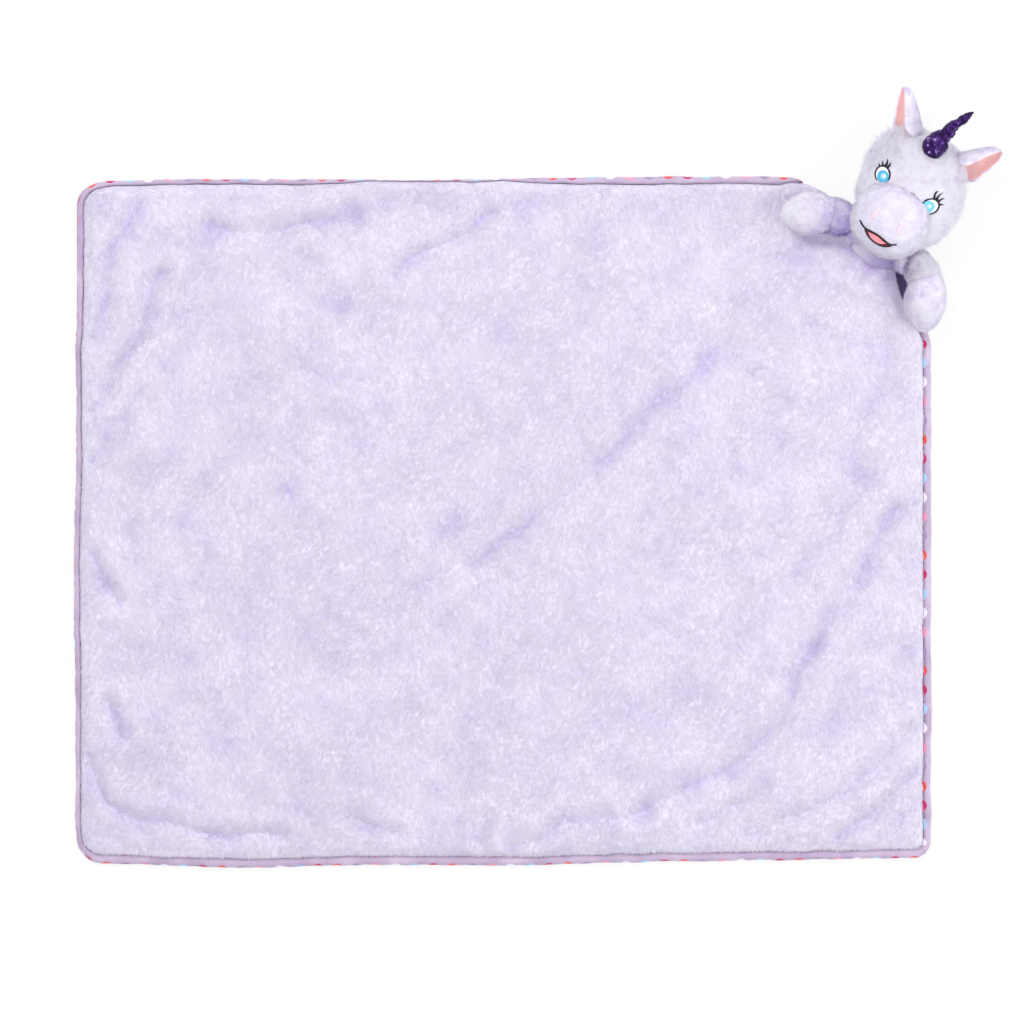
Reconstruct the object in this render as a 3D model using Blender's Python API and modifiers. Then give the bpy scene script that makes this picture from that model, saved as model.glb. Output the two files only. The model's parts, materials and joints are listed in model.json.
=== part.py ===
"""A plush comfort blanket with a stuffed unicorn head and two arms sewn to one corner.

Lengths are in metres. The blanket lies flat with its plush side up: X runs along its length,
Y along its width and Z up. The toy lies face up on the corner that is drawn in to its neck.
"""
import math

import bmesh
import bpy
from mathutils import Matrix, Vector

# Blanket
BLANKET_LENGTH = 0.915
BLANKET_WIDTH = 0.733
CORNER_TOP_LEFT = 0.027
CORNER_BOTTOM_LEFT = 0.032
CORNER_BOTTOM_RIGHT = 0.018
EDGE_RISE = 0.012
PILE_HEIGHT = 0.009
FRONT_SEAM = 0.0036
BACK_SEAM = 0.0015
FOLD_HEIGHT = 0.005
SWELL_HEIGHT = 0.0012
FOLD_WIDTH = 0.022
FLAT_REACH = 0.21
FLAT_SHARE = 0.5
RIM_DROP_SHARE = 0.25
GRID_LONG = 26
GRID_WIDE = 20
CORNER_STEPS = 2

# Corner that is drawn in to the neck, measured from the full corner
FALL_START = 0.145
FALL_STEPS = 6
DRAWN_IN_LONG = 0.030
DRAWN_IN_WIDE = 0.087
SIDE_START = 0.181
SIDE_STEPS = 7
SIDE_CURVE_SHARES = (0.30, 0.52)
FALL_CURVE_SHARES = (0.42, 0.47, 0.35, 0.04)

# Binding folded over the edges
BINDING_CLOTH = 0.0015
BINDING_DEPTH = 0.010
BINDING_ANGLES = (-90, -30, 30, 90)
SEAM_RUN = 0.0038

# Toy: its place from the full corner, and its turn on the blanket
NECK_FROM_END = 0.0533
NECK_FROM_SIDE = 0.0586
TOY_TURN = -31.0

# Head and muzzle
HEAD_WIDTH = 0.109
HEAD_HEIGHT = 0.126
HEAD_DEPTH = 0.094
HEAD_ASIDE = 0.004
CHIN_DROP = 0.005
MUZZLE_WIDTH = 0.085
MUZZLE_HEIGHT = 0.079
MUZZLE_DEPTH = 0.090
MUZZLE_SHARES = (-0.110, -0.69, 0.63)
HEAD_CLOTH = 0.0022
MUZZLE_CLOTH = 0.0018
HEAD_SIDES = 22
HEAD_RINGS = 12

# Bust, neck and shoulders
BUST_WIDTH = 0.059
BUST_LENGTH = 0.038
BUST_HEIGHT = 0.0195
BUST_BACK = 0.017
BUST_CLOTH = 0.0018
BUST_SIDES = 20
BUST_RINGS = 10
NECK_RADIUS = 0.012
NECK_RISE = 0.0145
NECK_AHEAD = 0.016
SHOULDER_RADIUS = 0.009
SHOULDER_SPREAD = 0.033
SHOULDER_AHEAD = 0.007
SHOULDER_RISE = 0.0115
BALL_SIDES = 16

# Arms
ARM_CLOTH = 0.0018
ARM_SIDES = 12
LEFT_ARM_REACH = (-0.0205, 0.0125, -0.0740, -0.0275)
LEFT_ARM_WIDTH = 0.040
LEFT_HOOF_WIDTH = 0.049
RIGHT_ARM_REACH = (0.0300, 0.013, 0.0535, -0.057)
RIGHT_ARM_WIDTH = 0.037
RIGHT_HOOF_WIDTH = 0.046
ARM_THICKNESS = 0.0305
HOOF_THICKNESS = 0.036
CUFF_SHARE = 0.42
CUFF_START_SHARE = 0.25
SETTLE_SHARE = 0.5
ARM_STEP_SHARE = 0.01
ARM_STATION_SHARES = (0.0, 0.03, 0.09, 0.18, 0.30, 0.42, 0.54, 0.66, 0.78, 0.88, 0.955, 1.0)
ARM_SWELL_SHARES = (0.0, 0.58, 0.82, 0.95, 1.0, 0.97, 0.90, 0.98, 1.0, 0.84, 0.53, 0.0)

# Ears
EAR_LENGTH = 0.0490
EAR_RADIUS = 0.0165
EAR_ROOT = 0.0080
EAR_COLLAR_WIDTH = 0.027
EAR_COLLAR_DEPTH = 0.018
EAR_COLLAR_BACK = 0.0045
EAR_COLLAR_HEIGHT = 0.0060
EAR_START = 0.0072
EAR_CLOTH = 0.0022
LINING_CLOTH = 0.0012
EAR_ARC = 26.0
EAR_ARCS = 8
LINING_ARCS = 6
EAR_STATION_SHARES = (0.0, 0.17, 0.34, 0.52, 0.72, 0.88, 1.0)
EAR_SWELL_SHARES = (0.88, 1.0, 0.98, 0.85, 0.62, 0.40, 0.20)
LEFT_EAR_SHARES = (-0.65, 0.74, 0.14)
RIGHT_EAR_SHARES = (0.68, 0.70, 0.14)
EAR_LEAN = 30.5
EAR_SQUASH_SHARE = 1.0
LEFT_EAR_TURN = 80.0
RIGHT_EAR_TURN = 62.0

# Horn
HORN_LENGTH = 0.062
HORN_BALL = 0.0125
HORN_BEND = 0.010
HORN_CLOTH = 0.0009
HORN_TURNS = 2.6
HORN_GROOVE_SHARE = 0.10
HORN_SHARES = (-0.046, 0.78)
HORN_LIFT = 0.003
HORN_AIM_SHARES = (0.16, 0.80, 0.56)
HORN_PROFILE_SHARES = (0.0, 0.14, 0.24, 0.33, 0.43, 0.52, 0.61, 0.70, 0.82, 0.92, 1.0)
HORN_SWELL_SHARES = (1.0, 0.98, 0.80, 0.57, 0.62, 0.56, 0.39, 0.45, 0.36, 0.24, 0.10)
HORN_SIDES = 12
HORN_STATIONS = 16
HORN_STATION_POWER = 0.85
HORN_POINT_SHARE = 2.3
HORN_OPENING_SHARE = 0.6

# Embroidery
STITCH = 0.0006
EYE_WIDTH = 0.0155
EYE_HEIGHT = 0.0175
EYE_TILT = 14.0
LEFT_EYE_SHARES = (-0.615, -0.035)
RIGHT_EYE_SHARES = (0.480, -0.082)
IRIS_SHARE = 0.74
HIGHLIGHT_SHARE = 0.28
EYE_FOOT_SHARE = 0.34
IRIS_DROP_SHARE = 0.09
EYE_SIDES = 14
IRIS_SIDES = 12
HIGHLIGHT_SIDES = 8
OUTLINE_WIDTH = 0.0014
OUTLINE_START = -40.0
OUTLINE_SWEEP = 260.0
OUTLINE_STEPS = 12
LASH_TAPER_SHARES = (1.0, 0.8, 0.5)
LASH_LENGTH = 0.0075
LASH_ANGLES = (20.0, 42.0, 64.0, 86.0)
NOSTRIL_LENGTH = 0.0128
NOSTRIL_WIDTH = 0.0042
LEFT_NOSTRIL_SHARES = (-0.36, -0.03)
RIGHT_NOSTRIL_SHARES = (0.36, -0.04)
NOSTRIL_TILT = 9.0
NOSTRIL_STEPS = 4
NOSTRIL_END_SHARE = 0.85
MOUTH_SHARES = (-0.03, -0.56)
SMILE_WIDTH = 0.046
SMILE_RISE = 0.0072
MOUTH_WIDTH = 0.031
MOUTH_OPEN = 0.0085
MOUTH_STEPS = 10
LIP_END_SHARE = 0.5
MOUTH_LINING_WIDTH = 0.025
LINING_CLEAR_SHARES = (1.2, 1.5)
TONGUE_WIDTH_SHARE = 0.5
TONGUE_DROP_SHARE = 0.12

# Clearance between pieces that touch
GAP = 0.0003
OVERRUN = 0.2
SHARP_ANGLE = 50.0
FLAT_ANGLE = 0.1

# Heights of the blanket's layers, from the floor up
BACK_LIFT = BINDING_CLOTH + GAP
BACK_TOP = BACK_LIFT + BACK_SEAM
FRONT_UNDERSIDE = BACK_TOP + GAP
FRONT_SEAM_TOP = FRONT_UNDERSIDE + FRONT_SEAM
FRONT_TOP = FRONT_UNDERSIDE + PILE_HEIGHT
BINDING_HEIGHT = FRONT_SEAM_TOP + GAP + BINDING_CLOTH
SHEET_INSET = BINDING_HEIGHT / 2 + GAP + GAP
SEAM_INSET = BINDING_DEPTH + GAP + GAP

# Folds of the plush side: start and end as shares of half the length and half the width,
# then height and width as shares of the fold sizes
FOLD_SHARES = (
    (-0.06, -0.12, 0.42, 0.40, 1.0, 1.3),
    (0.45, 0.05, 0.66, 0.36, 0.5, 1.0),
    (-0.82, 0.66, -0.93, 0.30, 0.8, 1.0),
    (-0.88, 0.34, -0.96, 0.10, 0.5, 0.8),
    (-0.66, 0.84, -0.22, 0.91, 0.8, 1.0),
    (-0.24, 0.74, -0.05, 0.83, 0.5, 1.0),
    (-0.93, -0.60, -0.84, -0.84, 0.7, 0.9),
    (-0.82, -0.86, -0.50, -0.93, 0.8, 0.8),
    (0.06, -0.88, 0.36, -0.78, 0.8, 0.9),
    (0.36, -0.78, 0.60, -0.60, 0.8, 0.9),
    (0.62, -0.88, 0.93, -0.66, 0.9, 0.9),
    (0.80, -0.20, 0.90, 0.02, 0.5, 0.9),
)
SWELL_SHARES = (2.3, 1.7, 0.9)


def srgb(red, green, blue):
    """Turns a colour read from 0 to 255 into Blender's linear values."""
    values = []
    for level in (red, green, blue):
        share = level / 255
        values.append(share / 12.92 if share <= 0.04045 else ((share + 0.055) / 1.055) ** 2.4)
    return (*values, 1.0)


def make_material(name, colour, roughness, metallic=0.0):
    material = bpy.data.materials.new(name)
    material.use_nodes = True
    shader = material.node_tree.nodes["Principled BSDF"]
    shader.inputs["Base Color"].default_value = srgb(*colour)
    shader.inputs["Roughness"].default_value = roughness
    shader.inputs["Metallic"].default_value = metallic
    return material


def make_materials():
    return {
        "plush": make_material("lavender_plush", (228, 219, 243), 0.95),
        "short_plush": make_material("pale_short_plush", (236, 231, 246), 0.92),
        "dotted": make_material("dotted_fleece", (196, 176, 216), 0.9),
        "stuffing": make_material("polyester_stuffing", (244, 243, 240), 1.0),
        "pink": make_material("pink_lining", (239, 202, 202), 0.85),
        "horn": make_material("purple_lame", (74, 44, 105), 0.35, 0.7),
        "white": make_material("white_thread", (250, 250, 250), 0.6),
        "blue": make_material("blue_thread", (96, 192, 222), 0.6),
        "black": make_material("black_thread", (24, 22, 28), 0.6),
        "red": make_material("dark_red_thread", (110, 22, 36), 0.6),
        "rose": make_material("pink_thread", (240, 150, 165), 0.6),
    }


class Scene:
    """Holds the collections and adds parts, cutters and empties to them."""

    def __init__(self):
        self.parts = bpy.data.collections.new("comfort_blanket")
        self.cutters = bpy.data.collections.new("cutters")
        for collection in (self.parts, self.cutters):
            bpy.context.scene.collection.children.link(collection)

    def empty(self, name, place, parent, turn=0.0):
        """An empty at a place given in its parent's frame."""
        empty = bpy.data.objects.new(name, None)
        empty.location = place
        empty.rotation_euler = (0.0, 0.0, math.radians(turn))
        empty.parent = parent
        self.parts.objects.link(empty)
        return empty

    def part(self, name, bm, parent, material, pivot=(0, 0, 0), closed=True):
        """A part whose parent's origin lies at the pivot, in the frame that the mesh is in."""
        bm.normal_update()
        if closed:
            bmesh.ops.recalc_face_normals(bm, faces=bm.faces[:])
        mesh = bpy.data.meshes.new(name)
        bm.transform(Matrix.Translation(-Vector(pivot)))
        bm.to_mesh(mesh)
        bm.free()
        mesh.shade_smooth()
        mesh.set_sharp_from_angle(angle=math.radians(SHARP_ANGLE))
        mesh.materials.append(material)
        part = bpy.data.objects.new(name, mesh)
        part.parent = parent
        self.parts.objects.link(part)
        return part

    def cutter(self, name, bm, parent):
        bm.normal_update()
        bmesh.ops.recalc_face_normals(bm, faces=bm.faces[:])
        mesh = bpy.data.meshes.new(name)
        bm.to_mesh(mesh)
        bm.free()
        cutter = bpy.data.objects.new(name, mesh)
        cutter.parent = parent
        cutter.hide_render = True
        cutter.display_type = "WIRE"
        self.cutters.objects.link(cutter)
        return cutter


def cut(part, *cutters):
    """Takes the cutters' shapes out of a part."""
    for cutter in cutters:
        boolean = part.modifiers.new("cut_" + cutter.name, "BOOLEAN")
        boolean.operation = "DIFFERENCE"
        boolean.object = cutter


def join(part, added):
    """Makes another shape one body with a part."""
    boolean = part.modifiers.new("join_" + added.name, "BOOLEAN")
    boolean.operation = "UNION"
    boolean.object = added


# Outline of the blanket


def arc(centre, radius, start, end, steps):
    """Points on an arc, both ends included, with angles in degrees."""
    points = []
    for i in range(steps + 1):
        angle = math.radians(start + (end - start) * i / steps)
        points.append(centre + radius * Vector((math.cos(angle), math.sin(angle))))
    return points


def bezier(a, b, c, d, steps):
    points = []
    for i in range(steps + 1):
        t = i / steps
        s = 1 - t
        points.append(s ** 3 * a + 3 * s * s * t * b + 3 * s * t * t * c + t ** 3 * d)
    return points


def straight(a, b, steps):
    return [a.lerp(b, i / steps) for i in range(steps + 1)]


def chain(*runs):
    """Joins runs of points that share their ends."""
    points = list(runs[0])
    for run in runs[1:]:
        points += run[1:]
    return points


def drawn_corner():
    """The start of the fall on the top edge, the corner at the neck and its end on the side."""
    end = BLANKET_LENGTH / 2
    side = BLANKET_WIDTH / 2
    fall = Vector((end - FALL_START, side))
    neck = Vector((end - DRAWN_IN_LONG, side - DRAWN_IN_WIDE))
    rise = Vector((end, side - SIDE_START))
    return fall, neck, rise


def edge_loop():
    """The blanket's outer line, anticlockwise from the middle of its bottom left corner."""
    end = BLANKET_LENGTH / 2
    side = BLANKET_WIDTH / 2
    low_left = Vector((CORNER_BOTTOM_LEFT - end, CORNER_BOTTOM_LEFT - side))
    low_right = Vector((end - CORNER_BOTTOM_RIGHT, CORNER_BOTTOM_RIGHT - side))
    high_left = Vector((CORNER_TOP_LEFT - end, side - CORNER_TOP_LEFT))
    fall, neck, rise = drawn_corner()
    start_a = arc(low_left, CORNER_BOTTOM_LEFT, 225, 270, CORNER_STEPS)
    end_a = arc(low_right, CORNER_BOTTOM_RIGHT, 270, 315, CORNER_STEPS)
    bottom = chain(start_a, straight(start_a[-1], end_a[0], GRID_LONG - 2 * CORNER_STEPS), end_a)
    start_b = arc(low_right, CORNER_BOTTOM_RIGHT, 315, 360, CORNER_STEPS)
    up = Vector((0.0, neck.y - rise.y))
    early, late = SIDE_CURVE_SHARES
    side_curve = bezier(rise, rise + up * early, neck - up * late, neck, SIDE_STEPS)
    right = chain(
        start_b,
        straight(start_b[-1], rise, GRID_WIDE - CORNER_STEPS - SIDE_STEPS),
        side_curve,
    )
    drop = neck - fall
    steep_x, steep_y, flat_x, flat_y = FALL_CURVE_SHARES
    top_curve = bezier(
        neck,
        neck - Vector((drop.x * steep_x, drop.y * steep_y)),
        fall + Vector((drop.x * flat_x, drop.y * flat_y)),
        fall,
        FALL_STEPS,
    )
    end_c = arc(high_left, CORNER_TOP_LEFT, 90, 135, CORNER_STEPS)
    top = chain(
        top_curve,
        straight(fall, end_c[0], GRID_LONG - CORNER_STEPS - FALL_STEPS),
        end_c,
    )
    start_d = arc(high_left, CORNER_TOP_LEFT, 135, 180, CORNER_STEPS)
    end_d = arc(low_left, CORNER_BOTTOM_LEFT, 180, 225, CORNER_STEPS)
    left = chain(start_d, straight(start_d[-1], end_d[0], GRID_WIDE - 2 * CORNER_STEPS), end_d)
    loop = bottom[:-1] + right[:-1] + top[:-1] + left[:-1]
    return [settled(point) for point in loop]


def settled(point):
    """The bottom edge lies a little higher towards its right end."""
    along = point.x / BLANKET_LENGTH + 0.5
    down = 0.5 - point.y / BLANKET_WIDTH
    return Vector((point.x, point.y + EDGE_RISE * along ** 3 * down))


def inward(loop):
    """For each point of an anticlockwise loop, the step that insets both its edges by one."""
    steps = []
    for i, point in enumerate(loop):
        before = (point - loop[i - 1]).normalized()
        after = (loop[(i + 1) % len(loop)] - point).normalized()
        side = Vector((-before.y, before.x))
        mitre = (side + Vector((-after.y, after.x))).normalized()
        steps.append(mitre / mitre.dot(side))
    return steps


def inset(loop, distance):
    return [point + step * distance for point, step in zip(loop, inward(loop))]


# Sheets of the blanket


def loop_index(i, j):
    """The loop's point that a border point of the grid belongs to."""
    if j == 0:
        return i
    if i == GRID_LONG:
        return GRID_LONG + j
    if j == GRID_WIDE:
        return 2 * GRID_LONG + GRID_WIDE - i
    return 2 * GRID_LONG + 2 * GRID_WIDE - j


def patch_point(loop, i, j):
    """A grid point inside the loop, blended from the loop's four sides."""
    u = i / GRID_LONG
    v = j / GRID_WIDE
    count = len(loop)

    def at(a, b):
        return loop[loop_index(a, b) % count]

    along = at(i, 0) * (1 - v) + at(i, GRID_WIDE) * v
    across = at(0, j) * (1 - u) + at(GRID_LONG, j) * u
    low = at(0, 0) * (1 - u) + at(GRID_LONG, 0) * u
    high = at(0, GRID_WIDE) * (1 - u) + at(GRID_LONG, GRID_WIDE) * u
    return along + across - (low * (1 - v) + high * v)


def sheet_solid(top, underside):
    """A closed sheet with the blanket's outline, from its heights over the plan.

    Both heights are functions of a point and its ring: 0 at the edge, 1 where the seam ends,
    2 and more inside.
    """
    edge = edge_loop()
    rings = {0: inset(edge, SHEET_INSET), 1: inset(edge, SEAM_INSET)}
    inner = inset(edge, SEAM_INSET + SEAM_RUN)
    bm = bmesh.new()
    bmesh.ops.create_grid(bm, x_segments=GRID_LONG, y_segments=GRID_WIDE, size=1)
    border = {}
    ring_at = {}
    for vert in bm.verts:
        i = round((vert.co.x + 1) / 2 * GRID_LONG)
        j = round((vert.co.y + 1) / 2 * GRID_WIDE)
        place = patch_point(inner, i, j)
        vert.co = (place.x, place.y, 0)
        at_border = i in (0, GRID_LONG) or j in (0, GRID_WIDE)
        ring_at[spot(vert)] = 2 if at_border else 3
        if at_border:
            border[spot(vert)] = loop_index(i, j) % len(inner)
    edges = [e for e in bm.edges if e.is_boundary]
    for ring in (1, 0):
        grown = bmesh.ops.extrude_edge_only(bm, edges=edges)["geom"]
        new_verts = [g for g in grown if isinstance(g, bmesh.types.BMVert)]
        new_border = {}
        for vert in new_verts:
            index = border[spot(vert)]
            vert.co = (*rings[ring][index], 0)
            new_border[spot(vert)] = index
            ring_at[spot(vert)] = ring
        border = new_border
        edges = [g for g in grown if isinstance(g, bmesh.types.BMEdge)]
        edges = [e for e in edges if e.is_boundary]
    bm.normal_update()
    flat = bm.faces[:]
    copied = bmesh.ops.extrude_face_region(bm, geom=flat)["geom"]
    low = {g for g in copied if isinstance(g, bmesh.types.BMVert)}
    for vert in bm.verts:
        height = underside if vert in low else top
        vert.co.z = height(vert.co, ring_at[spot(vert)])
    bm.normal_update()
    bmesh.ops.dissolve_limit(
        bm,
        angle_limit=math.radians(FLAT_ANGLE),
        verts=bm.verts[:],
        edges=bm.edges[:],
    )
    return bm


def spot(vert):
    """A key for a place in plan, fine enough to tell two grid points apart."""
    return round(vert.co.x, 7), round(vert.co.y, 7)


def ease(share):
    share = min(max(share, 0.0), 1.0)
    return share * share * (3 - 2 * share)


def neck_place():
    return Vector((BLANKET_LENGTH / 2 - NECK_FROM_END, BLANKET_WIDTH / 2 - NECK_FROM_SIDE))


def fold_height(point):
    """Height of the folds and soft swells over the flat plush, at a point in plan."""
    place = Vector((point.x, point.y))
    half = Vector((BLANKET_LENGTH / 2, BLANKET_WIDTH / 2))
    height = 0.0
    for x1, y1, x2, y2, rise, width in FOLD_SHARES:
        start = Vector((x1 * half.x, y1 * half.y))
        run = Vector((x2 * half.x, y2 * half.y)) - start
        share = min(max((place - start).dot(run) / run.length_squared, 0.0), 1.0)
        reach = (place - start - run * share).length / (FOLD_WIDTH * width)
        height += FOLD_HEIGHT * rise * math.exp(-reach * reach)
    east = math.tau * point.x / BLANKET_LENGTH
    north = math.tau * point.y / BLANKET_WIDTH
    a, b, c = SWELL_SHARES
    swell = math.sin(a * east + north) + math.sin(b * north - c * east)
    height = min(height, FOLD_HEIGHT) + SWELL_HEIGHT * swell / 2
    return height * ease((place - neck_place()).length / FLAT_REACH - FLAT_SHARE)


def make_sheets(scene, root, paint):
    def front_top(point, ring):
        if ring < 2:
            return FRONT_SEAM_TOP
        if ring == 2:
            return FRONT_TOP - (FRONT_TOP - FRONT_SEAM_TOP) * RIM_DROP_SHARE
        return FRONT_TOP + fold_height(point)

    def front_low(point, ring):
        return FRONT_UNDERSIDE

    def back_top(point, ring):
        return BACK_TOP

    def back_low(point, ring):
        return BACK_LIFT if ring < 2 else 0.0

    scene.part("blanket_front", sheet_solid(front_top, front_low), root, paint["plush"])
    scene.part("blanket_back", sheet_solid(back_top, back_low), root, paint["dotted"])


def binding_section():
    """The folded strip's outer line: distance in from the edge, and height."""
    radius = BINDING_HEIGHT / 2
    points = [(BINDING_DEPTH, 0.0)]
    for angle in BINDING_ANGLES:
        turn = math.radians(angle)
        points.append((radius - radius * math.cos(turn), radius + radius * math.sin(turn)))
    points.append((BINDING_DEPTH, BINDING_HEIGHT))
    return points


def make_binding(scene, root, name, first, last, material):
    """A strip of cloth folded over one side, from one point of the outline to another."""
    edge = edge_loop()
    steps = inward(edge)
    section = binding_section()
    rows = last - first
    bm = bmesh.new()
    bmesh.ops.create_grid(bm, x_segments=rows, y_segments=len(section) - 1, size=1)
    for vert in bm.verts:
        row = round((vert.co.x + 1) / 2 * rows)
        column = round((vert.co.y + 1) / 2 * (len(section) - 1))
        depth, height = section[column]
        index = (first + row) % len(edge)
        place = edge[index] + steps[index] * depth
        if row in (0, rows):
            beside = edge[(index + (1 if row == 0 else -1)) % len(edge)]
            place += (beside - edge[index]).normalized() * binding_end_room()
        vert.co = (*place, height)
    face_along(bm, Vector((0, 0, 1)))
    thicken(scene.part(name, bm, root, material, closed=False), BINDING_CLOTH)


def binding_end_room():
    """Half the gap between two strips at a corner, with room for the cloth's own turn there."""
    turn = math.radians(90 / (2 * CORNER_STEPS))
    return GAP / 2 + BINDING_CLOTH * math.sin(turn / 2)


def face_along(bm, direction):
    """Turns an open surface over if its farthest face along a direction looks back."""
    bm.normal_update()
    far = max(bm.faces, key=lambda face: face.calc_center_median().dot(direction))
    if far.normal.dot(direction) < 0:
        bmesh.ops.reverse_faces(bm, faces=bm.faces[:])


def thicken(part, thickness):
    """Gives an open surface its cloth, behind its faces."""
    solidify = part.modifiers.new("cloth", "SOLIDIFY")
    solidify.thickness = thickness
    solidify.offset = -1.0
    solidify.use_even_offset = True


def make_blanket(scene, root, paint):
    make_sheets(scene, root, paint)
    long, wide = GRID_LONG, GRID_WIDE
    dotted = paint["dotted"]
    make_binding(scene, root, "binding_bottom", 0, long, dotted)
    make_binding(scene, root, "binding_right", long, long + wide - SIDE_STEPS + 1, dotted)
    fall_at = long + wide + FALL_STEPS
    make_binding(scene, root, "binding_top", fall_at - 1, 2 * long + wide, dotted)
    make_binding(scene, root, "binding_left", 2 * long + wide, 2 * (long + wide), dotted)


# Stuffed shapes


def ball(centre, radii, sides, rings):
    """A round solid on its own centre, squashed to three radii."""
    bm = bmesh.new()
    bmesh.ops.create_uvsphere(bm, u_segments=sides, v_segments=rings, radius=1)
    bm.transform(Matrix.Translation(centre) @ Matrix.Diagonal((*radii, 1)))
    return bm


def socket(centre, radius):
    """A cutter that a faceted ball can turn in with a clearance all round."""
    facet = math.cos(math.pi / BALL_SIDES) ** 2
    room = (radius + GAP) / facet
    return ball(centre, (room, room, room), BALL_SIDES, BALL_SIDES // 2)


def shrunk(radii, amount):
    return tuple(radius - amount for radius in radii)


def block_below(height):
    """A cutter that takes away all that lies under a height."""
    bm = bmesh.new()
    bmesh.ops.create_cube(bm, size=1)
    bm.transform(
        Matrix.Translation((0, 0, height - OVERRUN / 2))
        @ Matrix.Diagonal((2 * OVERRUN, 2 * OVERRUN, OVERRUN, 1))
    )
    return bm


def loft(first, rings, last):
    """A closed solid through rings of points, from one end point to the other."""
    bm = bmesh.new()
    rows = [[bm.verts.new(point) for point in ring] for ring in rings]
    sides = len(rows[0])
    for row, after in zip(rows, rows[1:]):
        for k in range(sides):
            m = (k + 1) % sides
            bm.faces.new((row[k], row[m], after[m]))
            bm.faces.new((row[k], after[m], after[k]))
    for pole, row in ((first, rows[0]), (last, rows[-1])):
        tip = bm.verts.new(pole)
        for k in range(sides):
            bm.faces.new((tip, row[k], row[(k + 1) % sides]))
    return bm


def oval(centre, side, up, sides):
    """Points round a centre, as far as two vectors reach."""
    angles = [math.tau * k / sides for k in range(sides)]
    return [centre + side * math.cos(angle) + up * math.sin(angle) for angle in angles]


# Measures of the toy, in its own frame: X to its left in the picture, Y to its crown, Z up


def head_centre():
    return Vector((HEAD_ASIDE, HEAD_HEIGHT / 2 - CHIN_DROP, HEAD_DEPTH / 2))


def head_radii():
    return HEAD_WIDTH / 2, HEAD_HEIGHT / 2, HEAD_DEPTH / 2


def muzzle_centre():
    centre = head_centre()
    for axis, (share, radius) in enumerate(zip(MUZZLE_SHARES, head_radii())):
        centre[axis] += share * radius
    return centre


def muzzle_radii():
    return MUZZLE_WIDTH / 2, MUZZLE_HEIGHT / 2, MUZZLE_DEPTH / 2


def height_on(centre, radii, x, y):
    """Height of a round solid's upper surface over a point in plan."""
    across = (x - centre.x) / radii[0]
    along = (y - centre.y) / radii[1]
    return centre.z + radii[2] * math.sqrt(max(1 - across * across - along * along, 0.0))


def bust_base():
    return FRONT_TOP + GAP


def bust_centre():
    return Vector((HEAD_ASIDE, -BUST_BACK, bust_base()))


def neck_pivot():
    return bust_centre() + Vector((0.0, NECK_AHEAD, NECK_RISE))


def shoulder_pivot(side):
    return bust_centre() + Vector((side * SHOULDER_SPREAD, SHOULDER_AHEAD, SHOULDER_RISE))


# Bust, neck and shoulders


def make_bust(scene, toy, paint):
    """The stuffed shoulder piece, and the packed plugs that its joints turn on."""
    centre = bust_centre()
    radii = (BUST_WIDTH / 2, BUST_LENGTH / 2, BUST_HEIGHT)
    sockets = {
        "neck": scene.cutter("neck_socket", socket(neck_pivot(), NECK_RADIUS), toy),
        "left": scene.cutter("left_shoulder_socket", socket(shoulder_pivot(-1), SHOULDER_RADIUS), toy),
        "right": scene.cutter("right_shoulder_socket", socket(shoulder_pivot(1), SHOULDER_RADIUS), toy),
    }
    base = scene.cutter("bust_seat", block_below(bust_base()), toy)
    inner = ball(centre, shrunk(radii, BUST_CLOTH), BUST_SIDES, BUST_RINGS)
    inner = scene.cutter("bust_inside", inner, toy)
    cover = scene.part("bust_cover", ball(centre, radii, BUST_SIDES, BUST_RINGS), toy, paint["plush"])
    cut(cover, inner, base, *sockets.values())
    filled = ball(centre, shrunk(radii, BUST_CLOTH + GAP), BUST_SIDES, BUST_RINGS)
    filling = scene.part("bust_stuffing", filled, toy, paint["stuffing"])
    cut(filling, base, *sockets.values())
    return sockets


def make_plug(scene, name, pivot, radius, parent, material):
    plug = ball(pivot, (radius, radius, radius), BALL_SIDES, BALL_SIDES // 2)
    return scene.part(name, plug, parent, material, pivot)


# Arms


def arm_axis(start, reach, share):
    """Point on the arm's middle line: a curve from the shoulder to the hoof's end."""
    bend = start + Vector((reach[0], reach[1], 0))
    end = start + Vector((reach[2], reach[3], 0))
    a = start.lerp(bend, share)
    b = bend.lerp(end, share)
    place = a.lerp(b, share)
    thick = ARM_THICKNESS + (HOOF_THICKNESS - ARM_THICKNESS) * ease(share / CUFF_SHARE - SETTLE_SHARE)
    lying = bust_base() + GAP + thick / 2
    place.z = start.z + (lying - start.z) * ease(share / CUFF_START_SHARE)
    return place


def arm_solid(start, reach, arm_width, hoof_width, taken):
    """One arm's outer form, or the form of what lies a given depth inside it."""
    tail = taken / Vector(reach[2:]).length
    rings = []
    for station, swell in zip(ARM_STATION_SHARES, ARM_SWELL_SHARES):
        share = tail + station * (1 - 2 * tail)
        centre = arm_axis(start, reach, share)
        after = arm_axis(start, reach, min(share + ARM_STEP_SHARE, 1))
        run = after - arm_axis(start, reach, max(share - ARM_STEP_SHARE, 0))
        side = run.cross(Vector((0, 0, 1))).normalized()
        up = side.cross(run).normalized()
        grown = ease((share - CUFF_START_SHARE) / CUFF_SHARE)
        width = arm_width + (hoof_width - arm_width) * grown
        thick = ARM_THICKNESS + (HOOF_THICKNESS - ARM_THICKNESS) * grown
        across = max(width / 2 * swell - taken, 0)
        high = max(thick / 2 * swell - taken, 0)
        rings.append(oval(centre, side * across, up * high, ARM_SIDES))
    return loft(rings[0][0], rings[1:-1], rings[-1][0])


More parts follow.
